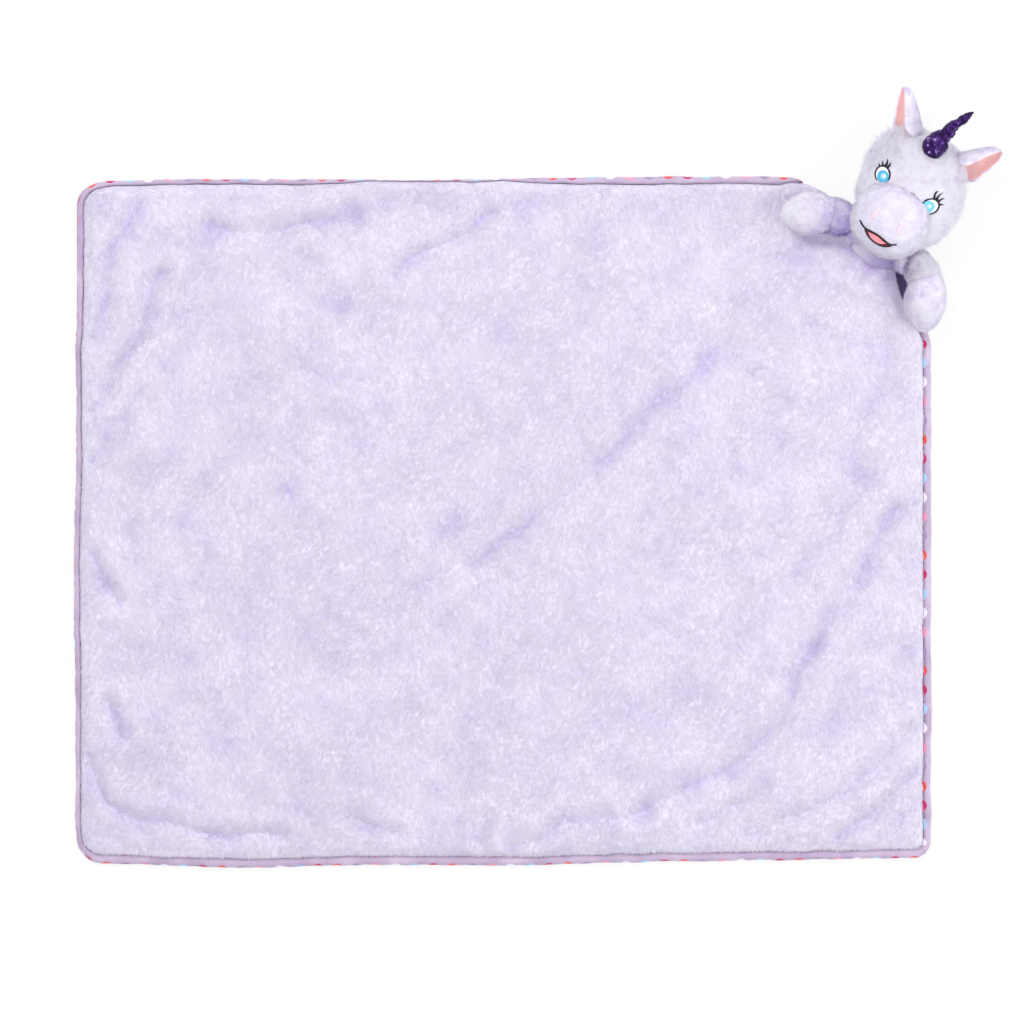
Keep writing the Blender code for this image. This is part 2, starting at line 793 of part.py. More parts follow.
def cuff_block(start, reach, beyond, gap):
    """A cutter for one side of the cuff seam."""
    place = arm_axis(start, reach, CUFF_SHARE)
    run = arm_axis(start, reach, CUFF_SHARE + ARM_STEP_SHARE) - place
    run.z = 0
    turn = run.to_track_quat("X", "Z").to_matrix().to_4x4()
    side = 1 if beyond else -1
    bm = bmesh.new()
    bmesh.ops.create_cube(bm, size=OVERRUN)
    shift = Matrix.Translation((side * (OVERRUN / 2 + gap / 2), 0, 0))
    bm.transform(Matrix.Translation(place) @ turn @ shift)
    return bm


def make_arm(scene, toy, name, side, reach, widths, socket_cutter, paint):
    pivot = shoulder_pivot(side)
    swing = scene.empty("shoulder_" + name, pivot, toy)
    plug_name = "shoulder_" + name + "_stuffing"
    make_plug(scene, plug_name, pivot, SHOULDER_RADIUS, swing, paint["stuffing"])
    lift = scene.empty("arm_" + name, (0, 0, 0), swing)
    hollow = scene.cutter("arm_" + name + "_inside", arm_solid(pivot, reach, *widths, ARM_CLOTH), toy)
    beyond = scene.cutter("cuff_" + name + "_beyond", cuff_block(pivot, reach, True, -GAP), toy)
    before = scene.cutter("cuff_" + name + "_before", cuff_block(pivot, reach, False, -GAP), toy)
    sleeve = arm_solid(pivot, reach, *widths, 0)
    sleeve = scene.part("arm_" + name + "_cover", sleeve, lift, paint["plush"], pivot)
    cut(sleeve, hollow, socket_cutter, beyond)
    hoof = arm_solid(pivot, reach, *widths, 0)
    hoof = scene.part("hoof_" + name + "_cover", hoof, lift, paint["short_plush"], pivot)
    cut(hoof, hollow, before)
    filled = arm_solid(pivot, reach, *widths, ARM_CLOTH + GAP)
    filling = scene.part("arm_" + name + "_stuffing", filled, lift, paint["stuffing"], pivot)
    cut(filling, socket_cutter)


# Head


def make_head(scene, toy, head, pivot, neck_cutter, other_sockets, paint):
    centre = head_centre()
    radii = head_radii()
    sides, rings = HEAD_SIDES, HEAD_RINGS
    hollow = scene.cutter("head_inside", ball(centre, shrunk(radii, HEAD_CLOTH), sides, rings), toy)
    around = scene.cutter("head_outside", ball(centre, shrunk(radii, -GAP), sides, rings), toy)
    cover = scene.part("head_cover", ball(centre, radii, sides, rings), head, paint["plush"], pivot)
    cut(cover, hollow, neck_cutter, *other_sockets)
    filled = ball(centre, shrunk(radii, HEAD_CLOTH + GAP), sides, rings)
    filling = scene.part("head_stuffing", filled, head, paint["stuffing"], pivot)
    cut(filling, neck_cutter, *other_sockets)
    place = muzzle_centre()
    size = muzzle_radii()
    hollow = ball(place, shrunk(size, MUZZLE_CLOTH), sides, rings)
    hollow = scene.cutter("muzzle_inside", hollow, toy)
    cover = ball(place, size, sides, rings)
    cover = scene.part("muzzle_cover", cover, head, paint["short_plush"], pivot)
    cut(cover, hollow, around, neck_cutter)
    filled = ball(place, shrunk(size, MUZZLE_CLOTH + GAP), sides, rings)
    filling = scene.part("muzzle_stuffing", filled, head, paint["stuffing"], pivot)
    cut(filling, around, neck_cutter)


# Ears


def ear_place(shares):
    """The ear's root on the head's surface."""
    direction = Vector(shares).normalized()
    place = head_centre()
    for axis, radius in enumerate(head_radii()):
        place[axis] += direction[axis] * radius
    return place


def ear_frame(side, turn):
    """The ear's own axes: Y to its tip and Z out of its open side."""
    lean = Matrix.Rotation(math.radians(-side * EAR_LEAN), 4, "Z")
    return lean @ Matrix.Rotation(math.radians(side * turn), 4, "Y")


def ear_leaf(first, last, taken, arcs):
    """A folded leaf, open towards Z: its outer face between two stations, some way inside."""
    radii = [EAR_RADIUS * share for share in EAR_SWELL_SHARES]
    places = [EAR_START + (EAR_LENGTH - EAR_START) * share for share in EAR_STATION_SHARES]
    slopes = [(radii[k + 1] - radii[k]) / (places[k + 1] - places[k]) for k in range(len(radii) - 1)]
    bm = bmesh.new()
    bmesh.ops.create_grid(bm, x_segments=arcs, y_segments=last - first, size=1)
    for vert in bm.verts:
        angle = math.radians(EAR_ARC * arcs / 2) * vert.co.x
        row = first + round((vert.co.y + 1) / 2 * (last - first))
        slope = max(abs(slopes[max(row - 1, 0)]), abs(slopes[min(row, len(slopes) - 1)]))
        less = taken * math.hypot(1, slope)
        wide = radii[row] - less
        deep = radii[row] * EAR_SQUASH_SHARE - less
        vert.co = (wide * math.sin(angle), places[row], -deep * math.cos(angle))
    face_along(bm, Vector((0, 0, -1)))
    return bm


def ear_ball(frame, clearance):
    """The round root that the ear folds on."""
    radius = EAR_ROOT + clearance
    bm = ball(Vector((0, 0, 0)), (radius, radius, radius), BALL_SIDES, BALL_SIDES // 2)
    bm.transform(frame)
    return bm


def ear_collar(frame, clearance):
    """The gathered end of the ear, over its root."""
    sizes = (EAR_COLLAR_WIDTH, EAR_COLLAR_HEIGHT, EAR_COLLAR_DEPTH)
    radii = tuple(size / 2 + clearance for size in sizes)
    bm = ball(Vector((0, EAR_START, -EAR_COLLAR_BACK)), radii, BALL_SIDES, BALL_SIDES // 2)
    bm.transform(frame)
    return bm


def make_ear(scene, toy, head, head_pivot, name, side, shares, turn, paint):
    pivot = ear_place(shares)
    frame = Matrix.Translation(pivot) @ ear_frame(side, turn)
    hinge = scene.empty("ear_" + name, pivot - head_pivot, head)
    root = scene.cutter("ear_" + name + "_root", ear_ball(frame, 0), toy)
    collar = scene.cutter("ear_" + name + "_collar", ear_collar(frame, 0), toy)
    tip = len(EAR_STATION_SHARES) - 1
    outer = ear_leaf(0, tip, 0, EAR_ARCS)
    outer.transform(frame)
    outer = scene.part("ear_" + name + "_outer", outer, hinge, paint["plush"], pivot, closed=False)
    thicken(outer, EAR_CLOTH)
    join(outer, collar)
    join(outer, root)
    lining = ear_leaf(1, tip - 1, EAR_CLOTH + 2 * GAP, LINING_ARCS)
    lining.transform(frame)
    lining = scene.part("ear_" + name + "_lining", lining, hinge, paint["pink"], pivot, closed=False)
    thicken(lining, LINING_CLOTH)
    cut(
        lining,
        scene.cutter("ear_" + name + "_clear_root", ear_ball(frame, GAP), toy),
        scene.cutter("ear_" + name + "_clear_collar", ear_collar(frame, GAP), toy),
    )


# Horn


def horn_pivot():
    centre = head_centre()
    radii = head_radii()
    x = centre.x + HORN_SHARES[0] * radii[0]
    y = centre.y + HORN_SHARES[1] * radii[1]
    return Vector((x, y, height_on(centre, radii, x, y) + HORN_LIFT))


def share_between(places, values, place):
    """The value at a place, on straight lines between the given ones."""
    for k in range(len(places) - 1):
        if place <= places[k + 1]:
            part = (place - places[k]) / (places[k + 1] - places[k])
            return values[k] + (values[k + 1] - values[k]) * part
    return values[-1]


def horn_solid(taken):
    """A round root, then a slim horn wound in by a spiral groove and bent to one side."""
    start = horn_pivot()
    aim = Vector(HORN_AIM_SHARES).normalized()
    aside = aim.cross(Vector((0, 0, 1))).normalized()
    over = aside.cross(aim)
    low = -HORN_BALL
    rings = []
    for i in range(HORN_STATIONS + 1):
        along = low + (HORN_LENGTH - low) * (i / HORN_STATIONS) ** HORN_STATION_POWER
        beyond = max(along, 0.0) / HORN_LENGTH
        centre = start + aim * along + aside * HORN_BEND * beyond * beyond
        if along > 0:
            wide = HORN_BALL * share_between(HORN_PROFILE_SHARES, HORN_SWELL_SHARES, beyond)
        else:
            wide = math.sqrt(max(HORN_BALL * HORN_BALL - along * along, 0.0))
        groove = HORN_GROOVE_SHARE * ease(along / HORN_BALL - 0.5)
        ring = []
        for k in range(HORN_SIDES):
            angle = math.tau * k / HORN_SIDES
            wave = math.cos(math.tau * HORN_TURNS * beyond - angle)
            reach = wide * (1 + groove * wave) - taken
            ring.append(centre + (aside * math.cos(angle) + over * math.sin(angle)) * reach)
        rings.append(ring)
    last = start + aim * (HORN_LENGTH - HORN_POINT_SHARE * taken) + aside * HORN_BEND
    return loft(start + aim * (low + taken), rings[1:-1], last)


def horn_opening():
    """A cutter that opens the cover under its root, where the seam is."""
    start = horn_pivot()
    aim = Vector(HORN_AIM_SHARES).normalized()
    turn = aim.to_track_quat("Z", "Y").to_matrix().to_4x4()
    bm = bmesh.new()
    bmesh.ops.create_cone(
        bm,
        cap_ends=True,
        segments=HORN_SIDES,
        radius1=HORN_BALL * HORN_OPENING_SHARE,
        radius2=HORN_BALL * HORN_OPENING_SHARE,
        depth=HORN_BALL,
    )
    bm.transform(Matrix.Translation(start - aim * HORN_BALL) @ turn)
    return bm


def make_horn(scene, toy, head, head_pivot, paint):
    pivot = horn_pivot()
    hinge = scene.empty("horn", pivot - head_pivot, head)
    hollow = scene.cutter("horn_inside", horn_solid(HORN_CLOTH), toy)
    opening = scene.cutter("horn_opening", horn_opening(), toy)
    cover = scene.part("horn_cover", horn_solid(0), hinge, paint["horn"], pivot)
    cut(cover, hollow, opening)
    filling = horn_solid(HORN_CLOTH + GAP)
    scene.part("horn_stuffing", filling, hinge, paint["stuffing"], pivot)


# Embroidery, laid on the surface as thin raised patches


def raised(bm, centre, radii, level, thickness=STITCH):
    """Lays flat faces on a round surface and makes them as thick as stitches."""
    lift = GAP + level * (STITCH + GAP)
    grown = shrunk(radii, -lift)
    for vert in bm.verts:
        vert.co.z = height_on(centre, grown, vert.co.x, vert.co.y)
    made = bmesh.ops.extrude_face_region(bm, geom=bm.faces[:])["geom"]
    grown = shrunk(radii, -(lift + thickness))
    for vert in made:
        if isinstance(vert, bmesh.types.BMVert):
            outward = Vector(
                [(vert.co[axis] - centre[axis]) / radii[axis] ** 2 for axis in range(3)]
            ).normalized()
            vert.co += outward * thickness
    return bm


def turned(x, y, degrees):
    angle = math.radians(degrees)
    return x * math.cos(angle) - y * math.sin(angle), x * math.sin(angle) + y * math.cos(angle)


def dome_patch(place, width, height, tilt, sides):
    """A round patch with a flattened foot."""
    bm = bmesh.new()
    bmesh.ops.create_circle(bm, cap_ends=True, cap_tris=True, segments=sides, radius=0.5)
    for vert in bm.verts:
        x = vert.co.x * width
        y = max(vert.co.y, -EYE_FOOT_SHARE) * height
        x, y = turned(x, y, tilt)
        vert.co = (place[0] + x, place[1] + y, 0)
    return bm


def band_patch(points, widths):
    """A strip of stitches along a line of points, with its width at each."""
    bm = bmesh.new()
    rows = len(points) - 1
    bmesh.ops.create_grid(bm, x_segments=rows, y_segments=1, size=1)
    for vert in bm.verts:
        row = round((vert.co.x + 1) / 2 * rows)
        before = points[max(row - 1, 0)]
        after = points[min(row + 1, rows)]
        run = (Vector(after) - Vector(before)).normalized()
        side = 0.5 * widths[row] * vert.co.y
        x, y = points[row]
        vert.co = (x - run.y * side, y + run.x * side, 0)
    return bm


def make_eye(scene, head, pivot, name, side, shares, paint):
    centre = head_centre()
    radii = head_radii()
    place = (centre.x + shares[0] * radii[0], centre.y + shares[1] * radii[1])
    tilt = -side * EYE_TILT

    def add(part_name, bm, level, material):
        scene.part(part_name, raised(bm, centre, radii, level), head, paint[material], pivot)

    white = dome_patch(place, EYE_WIDTH, EYE_HEIGHT, tilt, EYE_SIDES)
    add("eye_" + name + "_white", white, 0, "white")
    low = turned(0, -EYE_HEIGHT * IRIS_DROP_SHARE, tilt)
    spot_at = (place[0] + low[0], place[1] + low[1])
    iris = dome_patch(spot_at, EYE_WIDTH * IRIS_SHARE, EYE_HEIGHT * IRIS_SHARE, tilt, IRIS_SIDES)
    add("eye_" + name + "_iris", iris, 1, "blue")
    small = EYE_WIDTH * HIGHLIGHT_SHARE
    light = dome_patch(spot_at, small, small, tilt, HIGHLIGHT_SIDES)
    add("eye_" + name + "_highlight", light, 2, "white")
    rim = OUTLINE_WIDTH / 2 + GAP
    points = []
    for i in range(OUTLINE_STEPS + 1):
        angle = math.radians(OUTLINE_START + OUTLINE_SWEEP * i / OUTLINE_STEPS)
        x = (EYE_WIDTH / 2 + rim) * math.cos(angle)
        y = (EYE_HEIGHT / 2 + rim) * math.sin(angle)
        x, y = turned(x, y, tilt)
        points.append((place[0] + x, place[1] + y))
    outline = band_patch(points, [OUTLINE_WIDTH] * len(points))
    outline = raised(outline, centre, radii, 0)
    outline = scene.part("eye_" + name + "_outline", outline, head, paint["black"], pivot)
    for number, lean in enumerate(LASH_ANGLES):
        angle = math.radians(90 - side * (90 - lean))
        start = turned(EYE_WIDTH / 2 * math.cos(angle), EYE_HEIGHT / 2 * math.sin(angle), tilt)
        start = Vector(start) + Vector(place)
        out = Vector(turned(math.cos(angle), math.sin(angle), tilt))
        inner = start + out * (rim - OUTLINE_WIDTH / 4)
        outer = inner + out * LASH_LENGTH
        middle = inner.lerp(outer, 0.5)
        lash = band_patch([inner, middle, outer], [OUTLINE_WIDTH * share for share in LASH_TAPER_SHARES])
        lash = raised(lash, centre, radii, 0)
        lash = scene.cutter("lash_" + name + "_" + str(number + 1), lash, head)
        lash.location = -Vector(pivot)
        join(outline, lash)


def make_nostril(scene, head, pivot, name, side, shares, paint):
    centre = muzzle_centre()
    radii = muzzle_radii()
    place = Vector((centre.x + shares[0] * radii[0], centre.y + shares[1] * radii[1]))
    points = []
    widths = []
    for i in range(NOSTRIL_STEPS + 1):
        share = 2 * i / NOSTRIL_STEPS - 1
        x, y = turned(0, share * NOSTRIL_LENGTH / 2, side * NOSTRIL_TILT)
        points.append((place.x + x, place.y + y))
        widths.append(NOSTRIL_WIDTH * math.sqrt(1 - (NOSTRIL_END_SHARE * share) ** 2))
    patch = raised(band_patch(points, widths), centre, radii, 0)
    scene.part("nostril_" + name, patch, head, paint["rose"], pivot)


def smile(x):
    """Height of the smile's line over its lowest point."""
    return SMILE_RISE * (2 * x / SMILE_WIDTH) ** 2


def make_mouth(scene, head, pivot, paint):
    centre = muzzle_centre()
    radii = muzzle_radii()
    place = (centre.x + MOUTH_SHARES[0] * radii[0], centre.y + MOUTH_SHARES[1] * radii[1])
    steps = MOUTH_STEPS

    def open_depth(x):
        share = 2 * x / MOUTH_WIDTH
        return MOUTH_OPEN * max(1 - share * share, 0.0)

    points = []
    for i in range(2 * steps + 1):
        x = SMILE_WIDTH / 2 * (i / steps - 1)
        points.append((place[0] + x, place[1] + smile(x)))
    widths = []
    for i in range(2 * steps + 1):
        full = math.sin(math.pi * i / (2 * steps))
        widths.append(OUTLINE_WIDTH * (LIP_END_SHARE + (1 - LIP_END_SHARE) * full))
    upper = raised(band_patch(points, widths), centre, radii, 0)
    lip = scene.part("mouth_outline", upper, head, paint["black"], pivot)
    points = []
    for i in range(steps + 1):
        x = MOUTH_WIDTH / 2 * (2 * i / steps - 1)
        points.append((place[0] + x, place[1] + smile(x) - open_depth(x)))
    lower = raised(band_patch(points, [OUTLINE_WIDTH] * len(points)), centre, radii, 0)
    lower = scene.cutter("lower_lip", lower, head)
    lower.location = -Vector(pivot)
    join(lip, lower)
    rim = OUTLINE_WIDTH / 2 + GAP
    lining = mouth_patch(place, rim, MOUTH_LINING_WIDTH, 0, open_depth)
    lining = raised(lining, centre, radii, 0)
    scene.part("mouth_lining", lining, head, paint["red"], pivot)
    width = MOUTH_WIDTH * TONGUE_WIDTH_SHARE
    tongue = mouth_patch(place, rim, width, MOUTH_OPEN * TONGUE_DROP_SHARE, open_depth)
    tongue = raised(tongue, centre, radii, 1)
    scene.part("tongue", tongue, head, paint["rose"], pivot)


def mouth_patch(place, rim, width, drop, open_depth):
    """A crescent between the lips, kept clear of them by the rim."""
    steps = MOUTH_STEPS
    above, below = LINING_CLEAR_SHARES
    bm = bmesh.new()
    bmesh.ops.create_grid(bm, x_segments=steps, y_segments=1, size=1)
    for vert in bm.verts:
        x = width / 2 * vert.co.x
        high = smile(x) - rim * above - drop
        low = smile(x) - open_depth(x) + rim * below + drop
        low = min(low, high - rim / 2)
        vert.co = (place[0] + x, place[1] + (high if vert.co.y > 0 else low), 0)
    return bm


def make_toy(scene, toy, paint):
    sockets = make_bust(scene, toy, paint)
    pivot = neck_pivot()
    neck = scene.empty("neck", pivot, toy)
    make_plug(scene, "neck_stuffing", pivot, NECK_RADIUS, neck, paint["stuffing"])
    head = scene.empty("head", (0, 0, 0), neck)
    left_widths = (LEFT_ARM_WIDTH, LEFT_HOOF_WIDTH)
    right_widths = (RIGHT_ARM_WIDTH, RIGHT_HOOF_WIDTH)
    make_arm(scene, toy, "left", -1, LEFT_ARM_REACH, left_widths, sockets["left"], paint)
    make_arm(scene, toy, "right", 1, RIGHT_ARM_REACH, right_widths, sockets["right"], paint)
    others = [
        scene.cutter("left_ear_socket", socket(ear_place(LEFT_EAR_SHARES), EAR_ROOT), toy),
        scene.cutter("right_ear_socket", socket(ear_place(RIGHT_EAR_SHARES), EAR_ROOT), toy),
        scene.cutter("horn_socket", socket(horn_pivot(), HORN_BALL), toy),
    ]
    make_head(scene, toy, head, pivot, sockets["neck"], others, paint)
    make_ear(scene, toy, head, pivot, "left", -1, LEFT_EAR_SHARES, LEFT_EAR_TURN, paint)
    make_ear(scene, toy, head, pivot, "right", 1, RIGHT_EAR_SHARES, RIGHT_EAR_TURN, paint)
    make_horn(scene, toy, head, pivot, paint)
    make_eye(scene, head, pivot, "left", -1, LEFT_EYE_SHARES, paint)
    make_eye(scene, head, pivot, "right", 1, RIGHT_EYE_SHARES, paint)
    make_nostril(scene, head, pivot, "left", -1, LEFT_NOSTRIL_SHARES, paint)
    make_nostril(scene, head, pivot, "right", 1, RIGHT_NOSTRIL_SHARES, paint)
    make_mouth(scene, head, pivot, paint)


def centre_on_plan(scene, root):
    """Moves the whole object so that its box stands centred on the origin."""
    bpy.context.view_layer.update()
    graph = bpy.context.evaluated_depsgraph_get()
    corners = []
    for part in scene.parts.objects:
        if part.type != "MESH":
            continue
        shape = part.evaluated_get(graph)
        mesh = shape.to_mesh()
        corners += [shape.matrix_world @ vertex.co for vertex in mesh.vertices]
        shape.to_mesh_clear()
    for axis in (0, 1):
        values = [corner[axis] for corner in corners]
        root.location[axis] = -(min(values) + max(values)) / 2


def main():
    for thing in list(bpy.data.objects):
        bpy.data.objects.remove(thing)
    scene = Scene()
    paint = make_materials()
    root = scene.empty("blanket", (0, 0, 0), None)
    make_blanket(scene, root, paint)
    toy = scene.empty("toy", (*neck_place(), 0), root, TOY_TURN)
    make_toy(scene, toy, paint)
    centre_on_plan(scene, root)


main()
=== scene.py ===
"""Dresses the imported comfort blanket: plush with real pile, dotted back and binding, and the stuffed unicorn.

Lengths are in metres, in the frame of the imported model. The toy's shapes are first made in a frame of
its own: X towards its right ear in the picture, Y to its crown, Z up.
"""
import json
import math

import bmesh
import bpy
import numpy as np
from mathutils import Matrix, Vector, kdtree
from mathutils.bvhtree import BVHTree


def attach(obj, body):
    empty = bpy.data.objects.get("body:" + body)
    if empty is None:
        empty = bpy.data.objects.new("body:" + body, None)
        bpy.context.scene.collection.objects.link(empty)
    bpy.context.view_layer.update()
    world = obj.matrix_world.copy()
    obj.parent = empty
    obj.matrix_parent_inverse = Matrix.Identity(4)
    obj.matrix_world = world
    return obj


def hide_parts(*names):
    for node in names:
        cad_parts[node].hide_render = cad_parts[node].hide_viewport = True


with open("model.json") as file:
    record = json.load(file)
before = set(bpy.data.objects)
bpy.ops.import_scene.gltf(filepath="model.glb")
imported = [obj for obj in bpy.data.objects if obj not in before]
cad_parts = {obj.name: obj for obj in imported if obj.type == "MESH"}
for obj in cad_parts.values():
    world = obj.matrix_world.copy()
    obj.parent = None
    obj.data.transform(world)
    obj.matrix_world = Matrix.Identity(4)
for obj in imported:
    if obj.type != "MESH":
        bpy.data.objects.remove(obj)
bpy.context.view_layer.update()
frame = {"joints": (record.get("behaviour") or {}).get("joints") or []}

# Blanket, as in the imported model
BLANKET_LENGTH = 0.915
BLANKET_WIDTH = 0.733
HALF_LENGTH, HALF_WIDTH = BLANKET_LENGTH / 2, BLANKET_WIDTH / 2
CORNER_TOP_LEFT = 0.027
CORNER_BOTTOM_LEFT = 0.032
CORNER_BOTTOM_RIGHT = 0.018
EDGE_RISE = 0.012
FALL_START = 0.145
DRAWN_IN_LONG = 0.030
DRAWN_IN_WIDE = 0.087
SIDE_START = 0.181
SIDE_CURVE_SHARES = (0.30, 0.52)
FALL_CURVE_SHARES = ((0.42, 0.47), (0.35, 0.04))
NECK_FROM_END = 0.0533
NECK_FROM_SIDE = 0.0586
BACK_TOP = 0.0033
PLUSH_TOP = 0.0126

# Toy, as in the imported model
TOY_TURN = -31.0
HEAD_PLACE = (0.004, 0.058, 0.047)
HEAD_RADII = (0.0545, 0.063, 0.047)
MUZZLE_PLACE = (-0.002, 0.01453, 0.07661)
MUZZLE_RADII = (0.0425, 0.0395, 0.045)
NECK_ASIDE = 0.004
NECK_BACK = 0.001
NECK_PLACE = (0.004, -0.001, 0.0274)

# Picture
PHOTO_SCALE = 0.001065
PHOTO_CENTRE = (537.5, 476.5)
PHOTO_SHIFT = (-0.0016, 0.0021)
PHOTO_SIZE = 1024
CAMERA_LENS = 1500.0
CAMERA_SENSOR = 36.0


# Places


def joint_place(name):
    return Vector(next(joint["pos_m"] for joint in frame["joints"] if joint["name"] == name))


def toy_frame():
    """The toy's own frame, found from the joint that its head nods on."""
    turn = Matrix.Rotation(math.radians(TOY_TURN), 4, "Z")
    place = joint_place("neck_nod") - turn.to_3x3() @ Vector((NECK_ASIDE, -NECK_BACK, 0.0))
    place.z = 0.0
    return Matrix.Translation(place) @ turn


TOY = toy_frame()
BLANKET_PLACE = np.array(TOY.translation[:2]) - np.array((HALF_LENGTH - NECK_FROM_END, HALF_WIDTH - NECK_FROM_SIDE))


def moved(points, matrix=TOY):
    return points @ np.array(matrix.to_3x3()).T + np.array(matrix.translation)


def toy_place(points):
    """World points in the toy's frame."""
    return moved(points, TOY.inverted())


def toy_joint(name):
    return toy_place(np.array([joint_place(name)]))[0]


def from_photo(pixels):
    """Places on the floor, in plan, of points of the picture."""
    pixels = np.asarray(pixels, float)
    x = (pixels[:, 0] - PHOTO_CENTRE[0]) * PHOTO_SCALE + PHOTO_SHIFT[0]
    y = (PHOTO_CENTRE[1] - pixels[:, 1]) * PHOTO_SCALE + PHOTO_SHIFT[1]
    return np.stack((x, y), 1)


# Numbers


def smooth(share):
    share = np.clip(share, 0.0, 1.0)
    return share * share * (3 - 2 * share)


def bell(away):
    return np.exp(-(away**2))


def quarter(share):
    """Rises from 0 to 1 as a quarter circle."""
    return np.sqrt(1 - (1 - np.clip(share, 0, 1)) ** 2)


def unit(vectors):
    return vectors / np.maximum(np.linalg.norm(vectors, axis=1, keepdims=True), 1e-12)


def smoothed(values, reach):
    """A row of values averaged with the neighbours within reach."""
    kernel = bell(np.linspace(-2, 2, 2 * reach + 1))
    return np.convolve(np.pad(values, reach, mode="edge"), kernel / kernel.sum(), "valid")


def run_of(points):
    """How far along a line of points each of them is."""
    return np.concatenate(([0.0], np.cumsum(np.linalg.norm(np.diff(points, axis=0), axis=1))))


def resampled(points, steps, *others):
    """The same line with equal steps, with more columns for other values given at its points."""
    far = run_of(points)
    places = np.linspace(0, far[-1], steps + 1)
    return np.stack([np.interp(places, far, column) for column in (*points.T, *others)], 1)


def noise(points, scale, seed=0):
    """Smooth noise from -1 to 1 at each point, with features as wide as the scale."""
    points = np.asarray(points, float) / scale
    if points.shape[1] == 2:
        points = np.column_stack((points, np.zeros(len(points))))
    cell = np.floor(points)
    part = points - cell
    part = part * part * (3 - 2 * part)
    cell = cell.astype(np.int64)
    total = np.zeros(len(points))
    for corner in range(8):
        step = np.array([corner & 1, corner >> 1 & 1, corner >> 2 & 1])
        at = cell + step
        code = at[:, 0] * 374761393 + at[:, 1] * 668265263 + at[:, 2] * 1274126177 + seed * 974634777
        code = (code ^ (code >> 13)) * 1103515245
        code = (code ^ (code >> 16)) & 65535
        weight = np.prod(np.where(step == 1, part, 1 - part), axis=1)
        total += weight * (code / 32767.5 - 1)
    return total


def wander(points, scale, seed, ways=3):
    """Smooth noise in each of some directions."""
    return np.stack([noise(points, scale, seed + k) for k in range(ways)], 1)


# Meshes from arrays


def mesh_from(name, points, faces):
    """A mesh from an array of points and an array with the points of each face."""
    mesh = bpy.data.meshes.new(name)
    faces = np.asarray(faces, np.int32)
    mesh.vertices.add(len(points))
    mesh.vertices.foreach_set("co", np.asarray(points, np.float32).ravel())
    mesh.loops.add(faces.size)
    mesh.loops.foreach_set("vertex_index", faces.ravel())
    mesh.polygons.add(len(faces))
    mesh.polygons.foreach_set("loop_start", np.arange(len(faces), dtype=np.int32) * faces.shape[1])
    mesh.update(calc_edges=True)
    mesh.validate()
    mesh.shade_smooth()
    return mesh


def merge_poles(mesh):
    """Makes one point of those that lie in the same place, and turns the faces out."""
    bm = bmesh.new()
    bm.from_mesh(mesh)
    bmesh.ops.remove_doubles(bm, verts=bm.verts[:], dist=1e-6)
    bmesh.ops.recalc_face_normals(bm, faces=bm.faces[:])
    bm.to_mesh(mesh)
    bm.free()
    mesh.shade_smooth()


def grid_faces(rows, columns, closed=False):
    """Faces of a grid of points, stored row by row, whose columns may close on themselves."""
    row, column = np.meshgrid(np.arange(rows - 1), np.arange(columns - (not closed)), indexing="ij")
    row, column = row.ravel(), column.ravel()
    after = (column + 1) % columns
    corners = (row, column), (row, after), (row + 1, after), (row + 1, column)
    return np.stack([a * columns + b for a, b in corners], 1)


def coordinates_of(mesh):
    places = np.empty(len(mesh.vertices) * 3, np.float32)
    mesh.vertices.foreach_get("co", places)
    return places.reshape(-1, 3).astype(float)


def triangles_of(mesh):
    """The mesh's points and its triangles."""
    mesh.calc_loop_triangles()
    triangles = np.empty(len(mesh.loop_triangles) * 3, np.int32)
    mesh.loop_triangles.foreach_get("vertices", triangles)
    return coordinates_of(mesh), triangles.reshape(-1, 3)


def add_tone(mesh, values):
    """Keeps one lightness value per point, for the materials to read."""
    tone = mesh.attributes.new("tone", "FLOAT", "POINT")
    tone.data.foreach_set("value", np.broadcast_to(np.asarray(values, np.float32), len(mesh.vertices)).copy())


def add_coordinates(mesh, places):
    """Keeps two coordinates of the flat cloth per point as a UV map."""
    layer = mesh.uv_layers.new(name="cloth")
    loops = np.empty(len(mesh.loops), np.int32)
    mesh.loops.foreach_get("vertex_index", loops)
    layer.data.foreach_set("uv", np.asarray(places, np.float32)[loops].ravel())


FINISHES = {}


def add_piece(name, mesh, paint, body, *nodes):
    """A piece in the scene that rides on a body, and stands for the named CAD nodes."""
    piece = bpy.data.objects.new(name, mesh)
    bpy.context.scene.collection.objects.link(piece)
    mesh.materials.clear()
    mesh.materials.append(MATERIALS[paint])
    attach(piece, body)
    SLOTS.get(paint, paint)
    if nodes:
        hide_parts(*nodes)
    FINISHES[name] = paint, body
    return piece


# Pile

